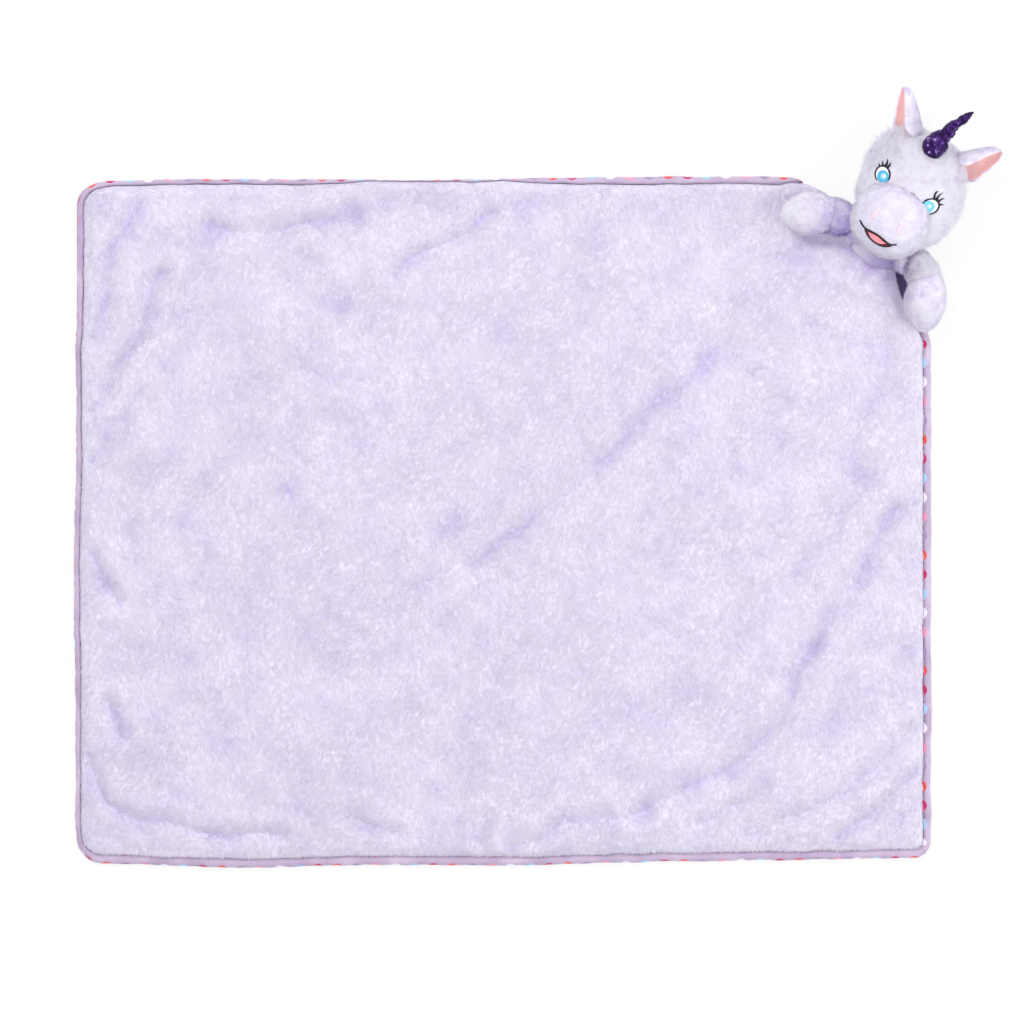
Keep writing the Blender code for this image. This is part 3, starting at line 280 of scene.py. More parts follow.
# Coats of tufts: how many, then the mean and spread of length, width and lean in degrees, and the seed
FRINGE_SHARE = 1.3
COATS = {
    "blanket_front_pile_1": (195000, 0.0048, 0.0011, 0.0014, 0.0003, 15, 6, 21),
    "blanket_front_pile_2": (195000, 0.0048, 0.0011, 0.0014, 0.0003, 15, 6, 22),
    "head_locks": (15000, 0.0070, 0.0018, 0.0019, 0.0004, 38, 14, 87),
    "head_pile": (70000, 0.0050, 0.0014, 0.0012, 0.0003, 30, 12, 63),
    "head_fringe": (14000, 0.0062, 0.0016, 0.0012, 0.0003, 46, 14, 96),
    "muzzle_pile": (46000, 0.0022, 0.0005, 0.0009, 0.0002, 14, 6, 66),
    "muzzle_fringe": (5000, 0.0030, 0.0007, 0.0009, 0.0002, 44, 14, 97),
    "bust_plush_pile": (9000, 0.0048, 0.0011, 0.0014, 0.0003, 15, 6, 101),
    "neck_plush_pile": (4000, 0.0048, 0.0011, 0.0014, 0.0003, 15, 6, 104),
    "shoulder_plush_pile": (3000, 0.0048, 0.0011, 0.0014, 0.0003, 15, 6, 107),
    "arm_pile": (21000, 0.0034, 0.0008, 0.0011, 0.0003, 20, 8, 73),
    "arm_cuff_pile": (16000, 0.0062, 0.0011, 0.0013, 0.0003, 13, 5, 78),
    "arm_fringe": (3000, 0.0034 * FRINGE_SHARE, 0.0008, 0.0011, 0.0003, 46, 14, 77),
    "hoof_pile": (24000, 0.0024, 0.0005, 0.0009, 0.0002, 20, 8, 74),
    "hoof_fringe": (3000, 0.0024 * FRINGE_SHARE, 0.0005, 0.0009, 0.0002, 46, 14, 78),
    "ear_pile": (19000, 0.0030, 0.0007, 0.0010, 0.0003, 16, 7, 79),
    "ear_pink_pile": (5000, 0.0020, 0.0005, 0.0009, 0.0002, 22, 9, 85),
}
# Painted shade at each tuft's two root corners and painted light at its tip
TUFT_ROOT_SHADE_TIP_LIGHT = (-0.045, -0.045, 0.045)
TUFT_TONE_SPREAD = 0.030
TUFT_TURN_SPREAD = 0.30
TUFT_ROLL_SPREAD = 0.35
LENGTH_LIMITS = (0.4, 1.8)
WIDTH_LIMITS = (0.5, 1.6)
THIN_SHARE = 0.25
ROOT_DEPTH = 0.0004
FLOOR_GAP = 0.0003
COMBED_LIGHT = 0.18
ROLLED_LIGHT = 0.25


def coat_of(name):
    return COATS[name.replace("_left", "").replace("_right", "")]


def pile(name, ground, comb, keep=None, tone=None):
    """A coat of fine pointed tufts over a piece, combed along a direction field.

    comb and keep are functions of the places and their normals, and tone is one of the places alone.
    """
    count, *sizes, seed = coat_of(name)
    length, width, lean = sizes[:2], sizes[2:4], sizes[4:]
    chance = np.random.default_rng(seed)
    points, triangles = triangles_of(ground.data)
    a, b, c = (points[triangles[:, k]] for k in range(3))
    face = np.cross(b - a, c - a)
    normals = np.zeros_like(points)
    for k in range(3):
        np.add.at(normals, triangles[:, k], face)
    normals = unit(normals)
    area = np.linalg.norm(face, axis=1)
    corners = triangles[chance.choice(len(triangles), count, p=area / area.sum())]
    u, v = chance.random((2, count, 1))
    over = u + v > 1
    u, v = np.where(over, 1 - u, u), np.where(over, 1 - v, v)
    shares = (1 - u - v, u, v)
    place = sum(points[corners[:, k]] * shares[k] for k in range(3))
    up = unit(sum(normals[corners[:, k]] * shares[k] for k in range(3)))
    longer = np.ones((count, 1))
    if keep is not None:
        share = keep(place, up)
        held = share > chance.random(count) * THIN_SHARE
        place, up, longer = place[held], up[held], np.clip(share[held, None], 0.0, None)
    many = (len(place), 1)
    along = comb(place, up)
    along = unit(along - up * np.sum(along * up, axis=1, keepdims=True))
    across = np.cross(up, along)
    turn = chance.normal(0, TUFT_TURN_SPREAD, many)
    along, across = along * np.cos(turn) + across * np.sin(turn), across * np.cos(turn) - along * np.sin(turn)
    rise = np.radians(chance.normal(*lean, many))
    reach = np.clip(chance.normal(*length, many), *(length[0] * limit for limit in LENGTH_LIMITS)) * longer
    wide = np.clip(chance.normal(*width, many), *(width[0] * limit for limit in WIDTH_LIMITS))
    roll = chance.normal(0, TUFT_ROLL_SPREAD, many)
    side = unit(across * np.cos(roll) + up * np.sin(roll)) * wide / 2
    tip = place + (along * np.cos(rise) + up * np.sin(rise)) * reach
    root = place - up * ROOT_DEPTH
    for ends in (tip, root):
        ends[:, 2] = np.maximum(ends[:, 2], FLOOR_GAP)
    corner = np.stack((root - side, root + side, tip), 1).reshape(-1, 3)
    mesh = mesh_from(name, corner, np.arange(len(corner)).reshape(-1, 3)[:, [0, 2, 1]])
    shade = chance.normal(0, TUFT_TONE_SPREAD, many)
    if tone is not None:
        shade = shade + tone(place)[:, None]
    # Each tuft's tone: its own spread, the tone given for its place, and the painted root shade and tip light
    add_tone(mesh, (shade + np.array(TUFT_ROOT_SHADE_TIP_LIGHT)).ravel())
    soft = unit(up + along * COMBED_LIGHT + side / wide * roll * ROLLED_LIGHT)
    mesh.normals_split_custom_set_from_vertices(np.repeat(soft, 3, axis=0).tolist())
    return add_piece(name, mesh, *FINISHES[ground.name])


def combed(way, waves, scale, seed, droop=0.0, side_droop=0.0):
    """A direction field in the toy's frame, with soft waves, that hangs down, or does so at the sides.

    way is one direction, or a function of the places in the toy's frame.
    """

    def comb(places, up):
        local = toy_place(places)
        ways = way(local) if callable(way) else np.array(way)
        ways = (ways + waves * wander(local, scale, seed)) @ np.array(TOY.to_3x3()).T
        ways[:, 2] -= droop + side_droop * (1 - up[:, 2])
        return ways

    return comb


def darker(amount):
    """A tone for a whole coat of pile."""
    return lambda places: np.full(len(places), amount)


def shaded(place, reach, amount, more=0.0):
    """Painted shade: a tone that deepens towards a place of the toy, under or beside the head."""
    return lambda places: more - amount * bell(np.linalg.norm(toy_place(places) - np.array(place), axis=1) / reach)


# Materials


def srgb(*colour):
    """Turns a colour read from 0 to 255 into Blender's linear values."""
    shares = (level / 255 for level in colour)
    return (*(s / 12.92 if s <= 0.04045 else ((s + 0.055) / 1.055) ** 2.4 for s in shares), 1.0)


def set_inputs(node, values):
    for name, value in values.items():
        node.inputs[name].default_value = value


def maths(tree, operation, *values):
    """A Math node's result, from numbers and other nodes' results."""
    node = tree.nodes.new("ShaderNodeMath")
    node.operation = operation
    for socket, value in zip(node.inputs, values):
        if isinstance(value, (int, float)):
            socket.default_value = value
        else:
            tree.links.new(value, socket)
    return node.outputs[0]


def seeing_rays(tree):
    """1 for the rays that see the background: the camera's, and those that metal and glass send on."""
    path = tree.nodes.new("ShaderNodeLightPath")
    rays = path.outputs["Is Camera Ray"]
    for kind in ("Is Glossy Ray", "Is Transmission Ray"):
        rays = maths(tree, "MAXIMUM", rays, path.outputs[kind])
    return rays


class Paint:
    """A material and short ways to add nodes to it."""

    def __init__(self, name, roughness, sheen=0.0):
        self.material = bpy.data.materials.new(name)
        self.material.use_nodes = True
        self.tree = self.material.node_tree
        self.shader = self.tree.nodes["Principled BSDF"]
        set_inputs(self.shader, {"Roughness": roughness, "Specular IOR Level": 0.2, "Sheen Weight": sheen,
                                 "Sheen Roughness": 0.6})

    def link(self, source, target):
        self.tree.links.new(source, target)

    def maths(self, *values):
        return maths(self.tree, *values)

    def place(self, layer=None):
        """The object's own coordinates, or those of a UV map."""
        node = self.tree.nodes.new("ShaderNodeUVMap" if layer else "ShaderNodeTexCoord")
        if layer:
            node.uv_map = layer
        return node.outputs["UV" if layer else "Object"]

    def texture(self, scale, detail=2.0, kind="Noise", output="Fac", **others):
        node = self.tree.nodes.new("ShaderNodeTex" + kind)
        set_inputs(node, {"Scale": scale, "Detail": detail, **others})
        self.link(self.place(), node.inputs["Vector"])
        return node.outputs[output]

    def weighted(self, total, *parts):
        """A sum of (value, weight) parts, added to a first value."""
        for value, weight in parts:
            total = self.maths("MULTIPLY_ADD", value, weight, total)
        return total

    def ramp(self, value, *stops, constant=False):
        """A colour ramp from (place, colour) stops."""
        node = self.tree.nodes.new("ShaderNodeValToRGB")
        if constant:
            node.color_ramp.interpolation = "CONSTANT"
        elements = node.color_ramp.elements
        while len(elements) < len(stops):
            elements.new(0.5)
        for element, (place, colour) in zip(elements, stops):
            element.position = place
            element.color = srgb(*colour)
        self.link(value, node.inputs["Fac"])
        return node.outputs["Color"]

    def mix(self, share, first, second, blend="MIX"):
        node = self.tree.nodes.new("ShaderNodeMix")
        node.data_type = "RGBA"
        node.blend_type = blend
        values = {"Factor": share, "A": first, "B": second}
        for socket in node.inputs:
            value = values.get(socket.name) if socket.enabled else None
            if isinstance(value, (float, tuple)):
                socket.default_value = srgb(*value) if isinstance(value, tuple) else value
            elif value is not None:
                self.link(value, socket)
        return next(socket for socket in node.outputs if socket.enabled)

    def tone(self):
        node = self.tree.nodes.new("ShaderNodeAttribute")
        node.attribute_name = "tone"
        return node.outputs["Fac"]

    def finish(self, colour, height, distance, strength):
        """Links the base colour and a bump, and gives the material."""
        self.link(colour, self.shader.inputs["Base Color"])
        node = self.tree.nodes.new("ShaderNodeBump")
        set_inputs(node, {"Distance": distance, "Strength": strength})
        self.link(height, node.inputs["Height"])
        self.link(node.outputs["Normal"], self.shader.inputs["Normal"])
        return self.material


PLUSH_LEVEL = 0.42
FINE_CLOUDS = 0.24


def plush_material(name, dark, middle, light, cloud, clouds, glow):
    """Pile whose colour runs from painted shade at its roots to painted light at its tips, and in soft clouds.

    cloud is the clouds' number per metre and clouds their strength. glow is the strength of a painted glow: the pile
    emits its dark colour, which lifts its shaded parts as light coming through thin cloth would.
    """
    paint = Paint(name, 0.9, 0.25)
    coarse, fine = paint.texture(cloud, 3.0), paint.texture(cloud * 5, 3.0)
    level = paint.weighted(PLUSH_LEVEL - clouds / 2, (coarse, clouds), (fine, FINE_CLOUDS), (paint.tone(), 1.0))
    # Painted glow: the pile emits a little of its dark colour, which lifts its shaded parts
    set_inputs(paint.shader, {"Emission Color": srgb(*dark), "Emission Strength": glow})
    return paint.finish(paint.ramp(level, (0.0, dark), (0.5, middle), (1.0, light)), fine, 0.0006, 0.5)


DOT_COLOURS = (
    (206, 22, 100), (240, 84, 76), (166, 152, 186), (246, 156, 186), (250, 249, 253), (172, 216, 246)
)
DOT_PITCH = 0.0205
DOT_RADIUS_SHARE = 0.30
DOT_FRAY = 0.05
DOT_ROW_STEP = 4.0
# Colour of the painted shade in the binding's groove and on the turned-in corner
SEAM_SHADE = (74, 54, 108)


def dotted_material(name, layer=None):
    """Short fleece printed with dots on a square grid, in six colours that take turns."""
    paint = Paint(name, 0.85, 0.3)
    split = paint.tree.nodes.new("ShaderNodeSeparateXYZ")
    paint.link(paint.place(layer), split.inputs[0])
    steps, parts = [], []
    for axis in ("X", "Y"):
        share = paint.maths("DIVIDE", split.outputs[axis], DOT_PITCH)
        steps.append(paint.maths("FLOOR", share))
        parts.append(paint.maths("SUBTRACT", paint.maths("FRACT", share), 0.5))
    away = paint.maths("SQRT", paint.weighted(0.0, *((part, part) for part in parts)))
    away = paint.weighted(away, (paint.texture(900.0), DOT_FRAY))
    inside = paint.maths("LESS_THAN", away, DOT_RADIUS_SHARE + DOT_FRAY / 2)
    colours = len(DOT_COLOURS)
    order = paint.maths("FLOORED_MODULO", paint.weighted(steps[0], (steps[1], DOT_ROW_STEP)), colours)
    order = paint.maths("DIVIDE", paint.maths("ADD", order, 0.5), colours)
    dots = paint.ramp(order, *((k / colours, colour) for k, colour in enumerate(DOT_COLOURS)), constant=True)
    ground = paint.ramp(paint.texture(35.0, 4.0), (0.3, (184, 165, 190)), (0.7, (212, 196, 214)))
    # With a UV map, the tone paints this shade over the ground, not over the dots
    if layer is not None:
        ground = paint.mix(paint.tone(), ground, SEAM_SHADE)
    nap = paint.texture(1400.0)
    shade = paint.ramp(nap, (0.3, (226, 224, 232)), (0.7, (255, 255, 255)))
    return paint.finish(paint.mix(1.0, paint.mix(inside, ground, dots), shade, "MULTIPLY"), nap, 0.0003, 0.6)


def thread_material(name, colour, dark, roughness=0.5):
    """Rows of rayon thread with a soft shine."""
    paint = Paint(name, roughness, 0.1)
    wave = paint.texture(620.0, 1.0, "Wave", Distortion=1.2)
    level = paint.weighted(0.0, (wave, 0.6), (paint.texture(900.0), 0.4))
    return paint.finish(paint.ramp(level, (0.15, dark), (0.75, colour)), wave, 0.0002, 0.35)


def lame_material(name):
    """Crinkled metallic cloth: dark purple that varies at random, with sharp pale glints painted into its colour beside
    the real shine of the metal.
    """
    paint = Paint(name, 0.34)
    set_inputs(paint.shader, {"Metallic": 0.75, "Specular IOR Level": 0.5})
    coarse, fine = paint.texture(170.0, 4.0), paint.texture(620.0, 3.0)
    cells = paint.texture(190.0, 0.0, "Voronoi", "Distance")
    level = paint.weighted(0.0, (coarse, 0.6), (fine, 0.4))
    # Painted highlights: the ramp's pale top stops put glints into the colour itself
    colour = paint.ramp(level, (0.38, (26, 8, 52)), (0.53, (54, 22, 92)), (0.60, (108, 70, 152)),
                        (0.67, (218, 198, 234)))
    paint.link(paint.weighted(0.22, (cells, 0.35)), paint.shader.inputs["Roughness"])
    return paint.finish(colour, paint.weighted(0.0, (cells, 0.6), (fine, 0.7)), 0.0012, 0.9)


# Each: dark, middle and light colours, clouds per metre and their strength, and the strength of the painted glow
PLUSHES = {
    "pink_lining": ((244, 190, 188), (250, 214, 210), (255, 230, 224), 110.0, 0.9, 0.20),
    "lavender_plush": ((178, 158, 216), (227, 222, 234), (239, 239, 243), 30.0, 0.52, 0.05),
    "lavender_toy_plush": ((174, 150, 224), (243, 241, 246), (251, 251, 253), 110.0, 0.75, 0.05),
    "pale_short_plush": ((186, 168, 228), (248, 246, 251), (252, 251, 254), 90.0, 0.5, 0.05),
    "pale_muzzle_plush": ((196, 182, 228), (235, 234, 238), (245, 245, 247), 90.0, 0.45, 0.05),
}
THREADS = {
    "white_thread": ((252, 252, 253), (238, 240, 246)),
    "blue_thread": ((92, 192, 224), (62, 164, 204)),
    "light_blue_thread": ((126, 212, 234), (92, 190, 222)),
    "pale_blue_thread": ((176, 228, 242), (132, 206, 230)),
    "black_thread": ((34, 30, 40), (10, 9, 14), 0.4),
    "dark_red_thread": ((150, 28, 48), (96, 14, 30)),
    "pink_thread": ((250, 164, 168), (238, 140, 150)),
    "pink_nostril_thread": ((248, 219, 225), (243, 203, 213)),
}
MATERIALS = {name: plush_material(name, *values) for name, values in PLUSHES.items()}
MATERIALS.update((name, thread_material(name, *values)) for name, values in THREADS.items())
MATERIALS["purple_lame"] = lame_material("purple_lame")
MATERIALS["dotted_fleece"] = dotted_material("dotted_fleece")
MATERIALS["dotted_binding"] = dotted_material("dotted_binding", "cloth")
# The record's slot of each material that isn't named after its own
SLOTS = {
    "lavender_toy_plush": "lavender_plush",
    "pale_muzzle_plush": "pale_short_plush",
    "light_blue_thread": "blue_thread",
    "pale_blue_thread": "blue_thread",
    "pink_nostril_thread": "pink_thread",
    "dotted_binding": "dotted_fleece",
}


# Outline of the blanket


def arc(centre, radius, start):
    """An eighth of a circle."""
    angles = np.radians(np.linspace(start, start + 45, 25))
    return np.array(centre) + radius * np.stack((np.cos(angles), np.sin(angles)), 1)


def bezier(a, b, c, d):
    t = np.linspace(0, 1, 49)[:, None]
    s = 1 - t
    return s**3 * a + 3 * s * s * t * b + 3 * s * t * t * c + t**3 * d


def blanket_sides(steps_long, steps_wide):
    """The outline's four sides, anticlockwise from the bottom left, each in equal steps."""
    end, side = HALF_LENGTH, HALF_WIDTH
    low_left = (CORNER_BOTTOM_LEFT - end, CORNER_BOTTOM_LEFT - side), CORNER_BOTTOM_LEFT
    low_right = (end - CORNER_BOTTOM_RIGHT, CORNER_BOTTOM_RIGHT - side), CORNER_BOTTOM_RIGHT
    high_left = (CORNER_TOP_LEFT - end, side - CORNER_TOP_LEFT), CORNER_TOP_LEFT
    fall = np.array((end - FALL_START, side))
    neck = np.array((end - DRAWN_IN_LONG, side - DRAWN_IN_WIDE))
    rise = np.array((end, side - SIDE_START))
    up = np.array((0.0, neck[1] - rise[1]))
    drop = neck - fall
    early, late = SIDE_CURVE_SHARES
    steep, flat = np.array(FALL_CURVE_SHARES)
    lines = (
        (arc(*low_left, 225), arc(*low_right, 270)),
        (arc(*low_right, 315), bezier(rise, rise + up * early, neck - up * late, neck)),
        (bezier(neck, neck - drop * steep, fall + drop * flat, fall), arc(*high_left, 90)),
        (arc(*high_left, 135), arc(*low_left, 180)),
    )
    sides = []
    for line, steps in zip(lines, (steps_long, steps_wide) * 2):
        line = np.concatenate(line)
        along = line[:, 0] / BLANKET_LENGTH + 0.5
        down = 0.5 - line[:, 1] / BLANKET_WIDTH
        line[:, 1] += EDGE_RISE * along**3 * down
        sides.append(resampled(line, steps) + BLANKET_PLACE)
    return sides


def blanket_loop(steps_long, steps_wide):
    return np.concatenate([side[:-1] for side in blanket_sides(steps_long, steps_wide)])


def inward(loop):
    """For each point of an anticlockwise loop, the direction into the blanket."""
    run = np.roll(loop, -1, 0) - np.roll(loop, 1, 0)
    return unit(np.stack((-run[:, 1], run[:, 0]), 1))


def patch(loop, steps_long, steps_wide):
    """A grid of places inside a loop, blended from its four sides, row by row."""
    i, j = np.arange(steps_long + 1), np.arange(steps_wide + 1)
    low, right = loop[i], loop[steps_long + j]
    high = loop[2 * steps_long + steps_wide - i]
    left = loop[(2 * steps_long + 2 * steps_wide - j) % len(loop)]
    u, v = (i / steps_long)[None, :, None], (j / steps_wide)[:, None, None]
    along = low[None] * (1 - v) + high[None] * v
    across = left[:, None] * (1 - u) + right[:, None] * u
    corners = (low[0] * (1 - u) + low[-1] * u) * (1 - v) + (high[0] * (1 - u) + high[-1] * u) * v
    return (along + across - corners).reshape(-1, 2)


# How far the cloth's edge is drawn in, in millimetres, by the picture's row or column
LEFT_PULLS = (
    (180, 5.0), (240, 6.6), (300, 6.4), (350, 4.2), (480, 4.4), (540, 2.4), (640, 2.4), (700, 3.8), (850, 3.8)
)
TOP_PULLS = (
    (80, 1.5), (130, 0.6), (190, -1.2), (350, -0.6), (430, 0.4), (510, -1.2), (590, -2.8), (670, -3.6),
    (750, -4.2), (790, -3.0), (803, 0.0), (830, 0.0)
)
BOTTOM_PULLS = (
    (90, 3.0), (120, 4.6), (190, 0.4), (270, -1.6), (350, 0.2), (430, -1.0), (510, -2.8), (590, -2.0),
    (670, -1.0), (830, -0.8), (900, 0.0)
)
PULL_REACH = 0.05
PULL_WANDER = 0.5


def drawn_in(loop, into):
    """The outline as the laid cloth has it, a little off the straight cut."""
    x, y = (loop - BLANKET_PLACE).T
    corner = from_photo([(0, 0)])[0]
    column, row = (loop[:, 0] - corner[0]) / PHOTO_SCALE, (corner[1] - loop[:, 1]) / PHOTO_SCALE
    amount = np.zeros(len(loop))
    for table, at, gap in (
        (LEFT_PULLS, row, HALF_LENGTH + x), (TOP_PULLS, column, HALF_WIDTH - y), (BOTTOM_PULLS, column, HALF_WIDTH + y)
    ):
        amount += np.interp(at, *np.array(table).T) * smooth(1 - gap / PULL_REACH)
    amount += PULL_WANDER * noise(loop, 0.02, 8)
    return loop + into * (0.001 * amount)[:, None]


LONG_STEPS = 372
WIDE_STEPS = 266
LOOP = blanket_loop(LONG_STEPS, WIDE_STEPS)
LOOP = drawn_in(LOOP, inward(LOOP))
INWARD = inward(LOOP)

# The binding's shown width along the bottom, right, top and left
SHOWN_WIDTHS = (0.0092, 0.0082, 0.0060, 0.0060)
SHOWN_BLEND = 0.03
# The same in millimetres along the top edge, by the picture's column
TOP_COLUMNS = (100, 116, 300, 345, 366, 385, 415, 425, 452, 470, 482, 505, 550, 600, 780, 803)
TOP_WIDTHS = (6.0, 5.6, 5.6, 4.0, 1.6, 1.0, 1.0, 1.6, 1.6, 3.0, 1.6, 2.0, 6.0, 8.0, 8.0, 2.0)


def binding_width(points):
    """How far the binding shows in from the edge, at points of the outline."""
    x, y = (points - BLANKET_PLACE).T
    gaps = (HALF_WIDTH + y, HALF_LENGTH - x, HALF_WIDTH - y, HALF_LENGTH + x)
    weights = np.stack([smooth(1 - gap / SHOWN_BLEND) + 1e-6 for gap in gaps])
    width = (weights * np.array(SHOWN_WIDTHS)[:, None]).sum(0) / weights.sum(0)
    at_top = smooth((y - HALF_WIDTH) / SHOWN_BLEND + 1.5)
    column = (points[:, 0] - from_photo([(0, 180)])[0, 0]) / PHOTO_SCALE
    width += (np.interp(column, TOP_COLUMNS, TOP_WIDTHS) * 0.001 - width) * at_top
    return width + 0.0006 * noise(points, 0.022, 3) * (width > 0.002)


# Folds of the plush: the lines of their valleys in the picture, then depth and width as shares. Each valley dips the
# cloth and is painted with shade, with a painted highlight on its ridge
VALLEYS = (
    ((470, 567), (495, 546), (529, 520), (552, 503), (593, 468), (622, 446), (657, 409), (690, 376), (722, 345),
     0.7, 1.1),
    ((135, 208), (126, 226), (115, 245), (107, 278), (105, 304), (90, 336), 0.7, 1.0),
    ((161, 275), (148, 304), (137, 336), (118, 368), (99, 400), (91, 413), 0.9, 0.8),
    ((137, 390), (124, 412), (106, 424), (102, 451), (92, 463), 0.6, 1.0),
    ((210, 227), (242, 234), (268, 234), (290, 226), (319, 221), (351, 218), 0.8, 0.9),
    ((335, 216), (362, 208), (394, 200), 0.6, 1.7),
    ((395, 275), (408, 259), (440, 248), (469, 234), (491, 218), 0.8, 0.8),
    ((497, 212), (515, 203), (545, 194), 0.5, 1.4),
    ((325, 310), (352, 294), (378, 278), 0.4, 1.5),
    ((411, 206), (453, 208), 0.4, 1.4),
    ((172, 248), (209, 242), 0.4, 1.5),
    ((212, 487), (196, 505), (178, 524), 0.25, 1.2),
    ((302, 461), (287, 489), 0.35, 0.8),
    ((300, 424), (318, 414), 0.25, 1.6),
    ((340, 441), (358, 434), 0.3, 1.6),
    ((376, 524), (392, 500), 0.2, 1.8),
    ((446, 527), (474, 512), 0.3, 1.9),
    ((237, 384), (262, 390), 0.25, 1.9),
    ((91, 558), (101, 577), (115, 598), 0.7, 0.8),
    ((127, 530), (140, 565), 0.4, 1.1),
    ((113, 700), (124, 734), 0.8, 0.8),
    ((89, 757), (96, 784), (110, 805), (134, 819), (172, 822), (203, 834), (282, 833), 0.7, 0.8),
    ((346, 812), (396, 833), 0.5, 0.8),
    ((484, 821), (484, 842), 0.5, 0.7),
    ((501, 684), (505, 663), (526, 642), 0.35, 0.8),
    ((659, 624), (680, 636), 0.3, 0.9),
    ((610, 566), (640, 548), (668, 540), 0.2, 2.0),
    ((890, 509), (876, 537), (858, 586), (834, 617), (806, 663), (792, 701), (767, 733), (722, 771), (680, 792),
     (645, 810), 0.75, 1.0),
    ((645, 810), (603, 817), (557, 827), (515, 845), 0.6, 0.8),
    ((865, 490), (830, 537), (806, 561), (785, 586), 0.3, 1.4),
    ((750, 838), (778, 817), (816, 810), (841, 792), (865, 771), (890, 747), (916, 732), 0.6, 0.8),
    ((841, 838), (872, 813), (893, 789), (919, 768), 0.8, 0.7),
    ((701, 820), (743, 803), (767, 789), 0.4, 0.8),
    ((826, 724), (856, 716), 0.35, 2.2),
    ((862, 476), (855, 446), (869, 411), (884, 358), 0.5, 1.6),
    ((898, 512), (912, 505), 0.5, 1.2),
    ((780, 250), (815, 262), (852, 268), 0.6, 1.5),
    # Along the toy's underside: a dip whose painted shade stands for the shade that the arm and chin cast on the plush
    ((810, 236), (838, 243), (858, 254), (876, 266), (896, 280), 1.1, 1.2),
    ((881, 260), (870, 269), (860, 279), 0.6, 0.6),
    ((885, 290), (884, 318), (891, 342), 0.5, 1.3),
    ((905, 318), (900, 300), (897, 284), 0.8, 0.8),
)
VALLEY_DEPTH = 0.0042
VALLEY_WIDTH = 0.0090
VALLEY_WANDER = 0.005
RIDGE_SHARE = 0.55
CHEST_RISE = 0.0050
CHEST_REACH = 0.034
FOLD_SHADE_LIMITS = (-0.34, 0.08)
BUST_PLACE = (0.004, -0.0155, 0.0118)


def off_line(points, line):
    """Distance from each point to a line of points."""
    best = np.full(len(points), np.inf)
    for a, b in zip(line[:-1], line[1:]):
        run = b - a
        share = np.clip((points - a) @ run / (run @ run), 0.0, 1.0)
        best = np.minimum(best, np.linalg.norm(points - a - share[:, None] * run, axis=1))
    return best


def fold_lines(points):
    """Distance from each point to every valley's line, as a share of its width, and its depth."""
    wavy = points + wander(points, 0.03, 71, 2) * VALLEY_WANDER
    for *line, depth, width in VALLEYS:
        yield off_line(wavy, from_photo(line)) / (VALLEY_WIDTH * width), depth


def fold_height(points):
    """Height of the plush's folds over its flat level."""
    height = np.zeros(len(points))
    for away, depth in fold_lines(points):
        height -= VALLEY_DEPTH * depth * np.exp(-(away**1.6))
        height += RIDGE_SHARE * VALLEY_DEPTH * depth * bell((away - 2.4) / 1.4)
    height += 0.0012 * noise(points, 0.11, 5) + 0.0011 * noise(points, 0.045, 6)
    chest = np.array((TOY @ Vector(BUST_PLACE))[:2])
    height += CHEST_RISE * np.exp(-np.sum((points - chest) ** 2, 1) / CHEST_REACH**2)
    return height + 0.0007 * noise(points, 0.018, 7)


def fold_shade(points):
    """Painted shade along each valley, and a painted highlight on the ridge beside it, a little uneven."""
    tone = np.zeros(len(points))
    for away, depth in fold_lines(points):
        tone -= depth * (0.12 * bell(away / 0.45) + 0.10 * bell(away / 1.4))
        tone += 0.05 * depth * bell((away - 2.6) / 1.2)
    return np.clip(tone, *FOLD_SHADE_LIMITS) * (0.95 + 0.25 * noise(points, 0.03, 73))


# Plush side and dotted back

EDGE_ROUND = 0.013
EDGE_HEIGHT = 0.0056
EDGE_GAP = 0.0003
# Painted highlight: the pile is lighter in a narrow band along the plush's edge
EDGE_HIGHLIGHT = 0.26
EDGE_HIGHLIGHT_REACH = 0.005
FOLD_START = 0.012
PILE_COVER = 0.0028
COMB_ANGLE = -97


def edge_tree():
    edge = LOOP + INWARD * binding_width(LOOP)[:, None]
    tree = kdtree.KDTree(len(edge))
    for index, place in enumerate(edge):
        tree.insert((*place, 0.0), index)
    tree.balance()
    return tree


EDGE_TREE = edge_tree()


def from_edge(points):
    """Distance in from the plush's edge."""
    return np.array([EDGE_TREE.find((*place, 0.0))[2] for place in points])


def make_plush():
    """The plush side: its cloth with folds, and the pile that stands on it."""
    edge = LOOP + INWARD * (binding_width(LOOP)[:, None] + EDGE_GAP)
    plan = patch(edge, LONG_STEPS, WIDE_STEPS)
    inside = from_edge(plan)
    level = PLUSH_TOP - PILE_COVER + fold_height(plan) * smooth(inside / FOLD_START)
    height = EDGE_HEIGHT + (level - EDGE_HEIGHT) * quarter(inside / EDGE_ROUND)
    mesh = mesh_from("blanket_front_cloth", np.column_stack((plan, height)), grid_faces(WIDE_STEPS + 1, LONG_STEPS + 1))
    # The cloth under the pile takes the folds' painted shade too
    add_tone(mesh, -0.10 + fold_shade(plan))
    cloth = add_piece("blanket_front_cloth", mesh, "lavender_plush", "blanket", "blanket_front")

    def comb(places, up):
        angle = math.radians(COMB_ANGLE) + 0.6 * noise(places, 0.06, 11) + 0.45 * noise(places, 0.018, 12)
        return np.column_stack((np.cos(angle), np.sin(angle), np.zeros(len(places))))

    # The pile's tone: the folds' painted shade and a painted highlight along the edge
    def tone(places):
        near = from_edge(places[:, :2])
        return fold_shade(places[:, :2]) + EDGE_HIGHLIGHT * bell(near / EDGE_HIGHLIGHT_REACH)

    coats = [pile("blanket_front_pile_" + number, cloth, comb, tone=tone) for number in "12"]


BACK_STEPS = (150, 120)
BACK_INSET = 0.0052
BACK_LOW = 0.0002
BACK_WRINKLE = 0.0009


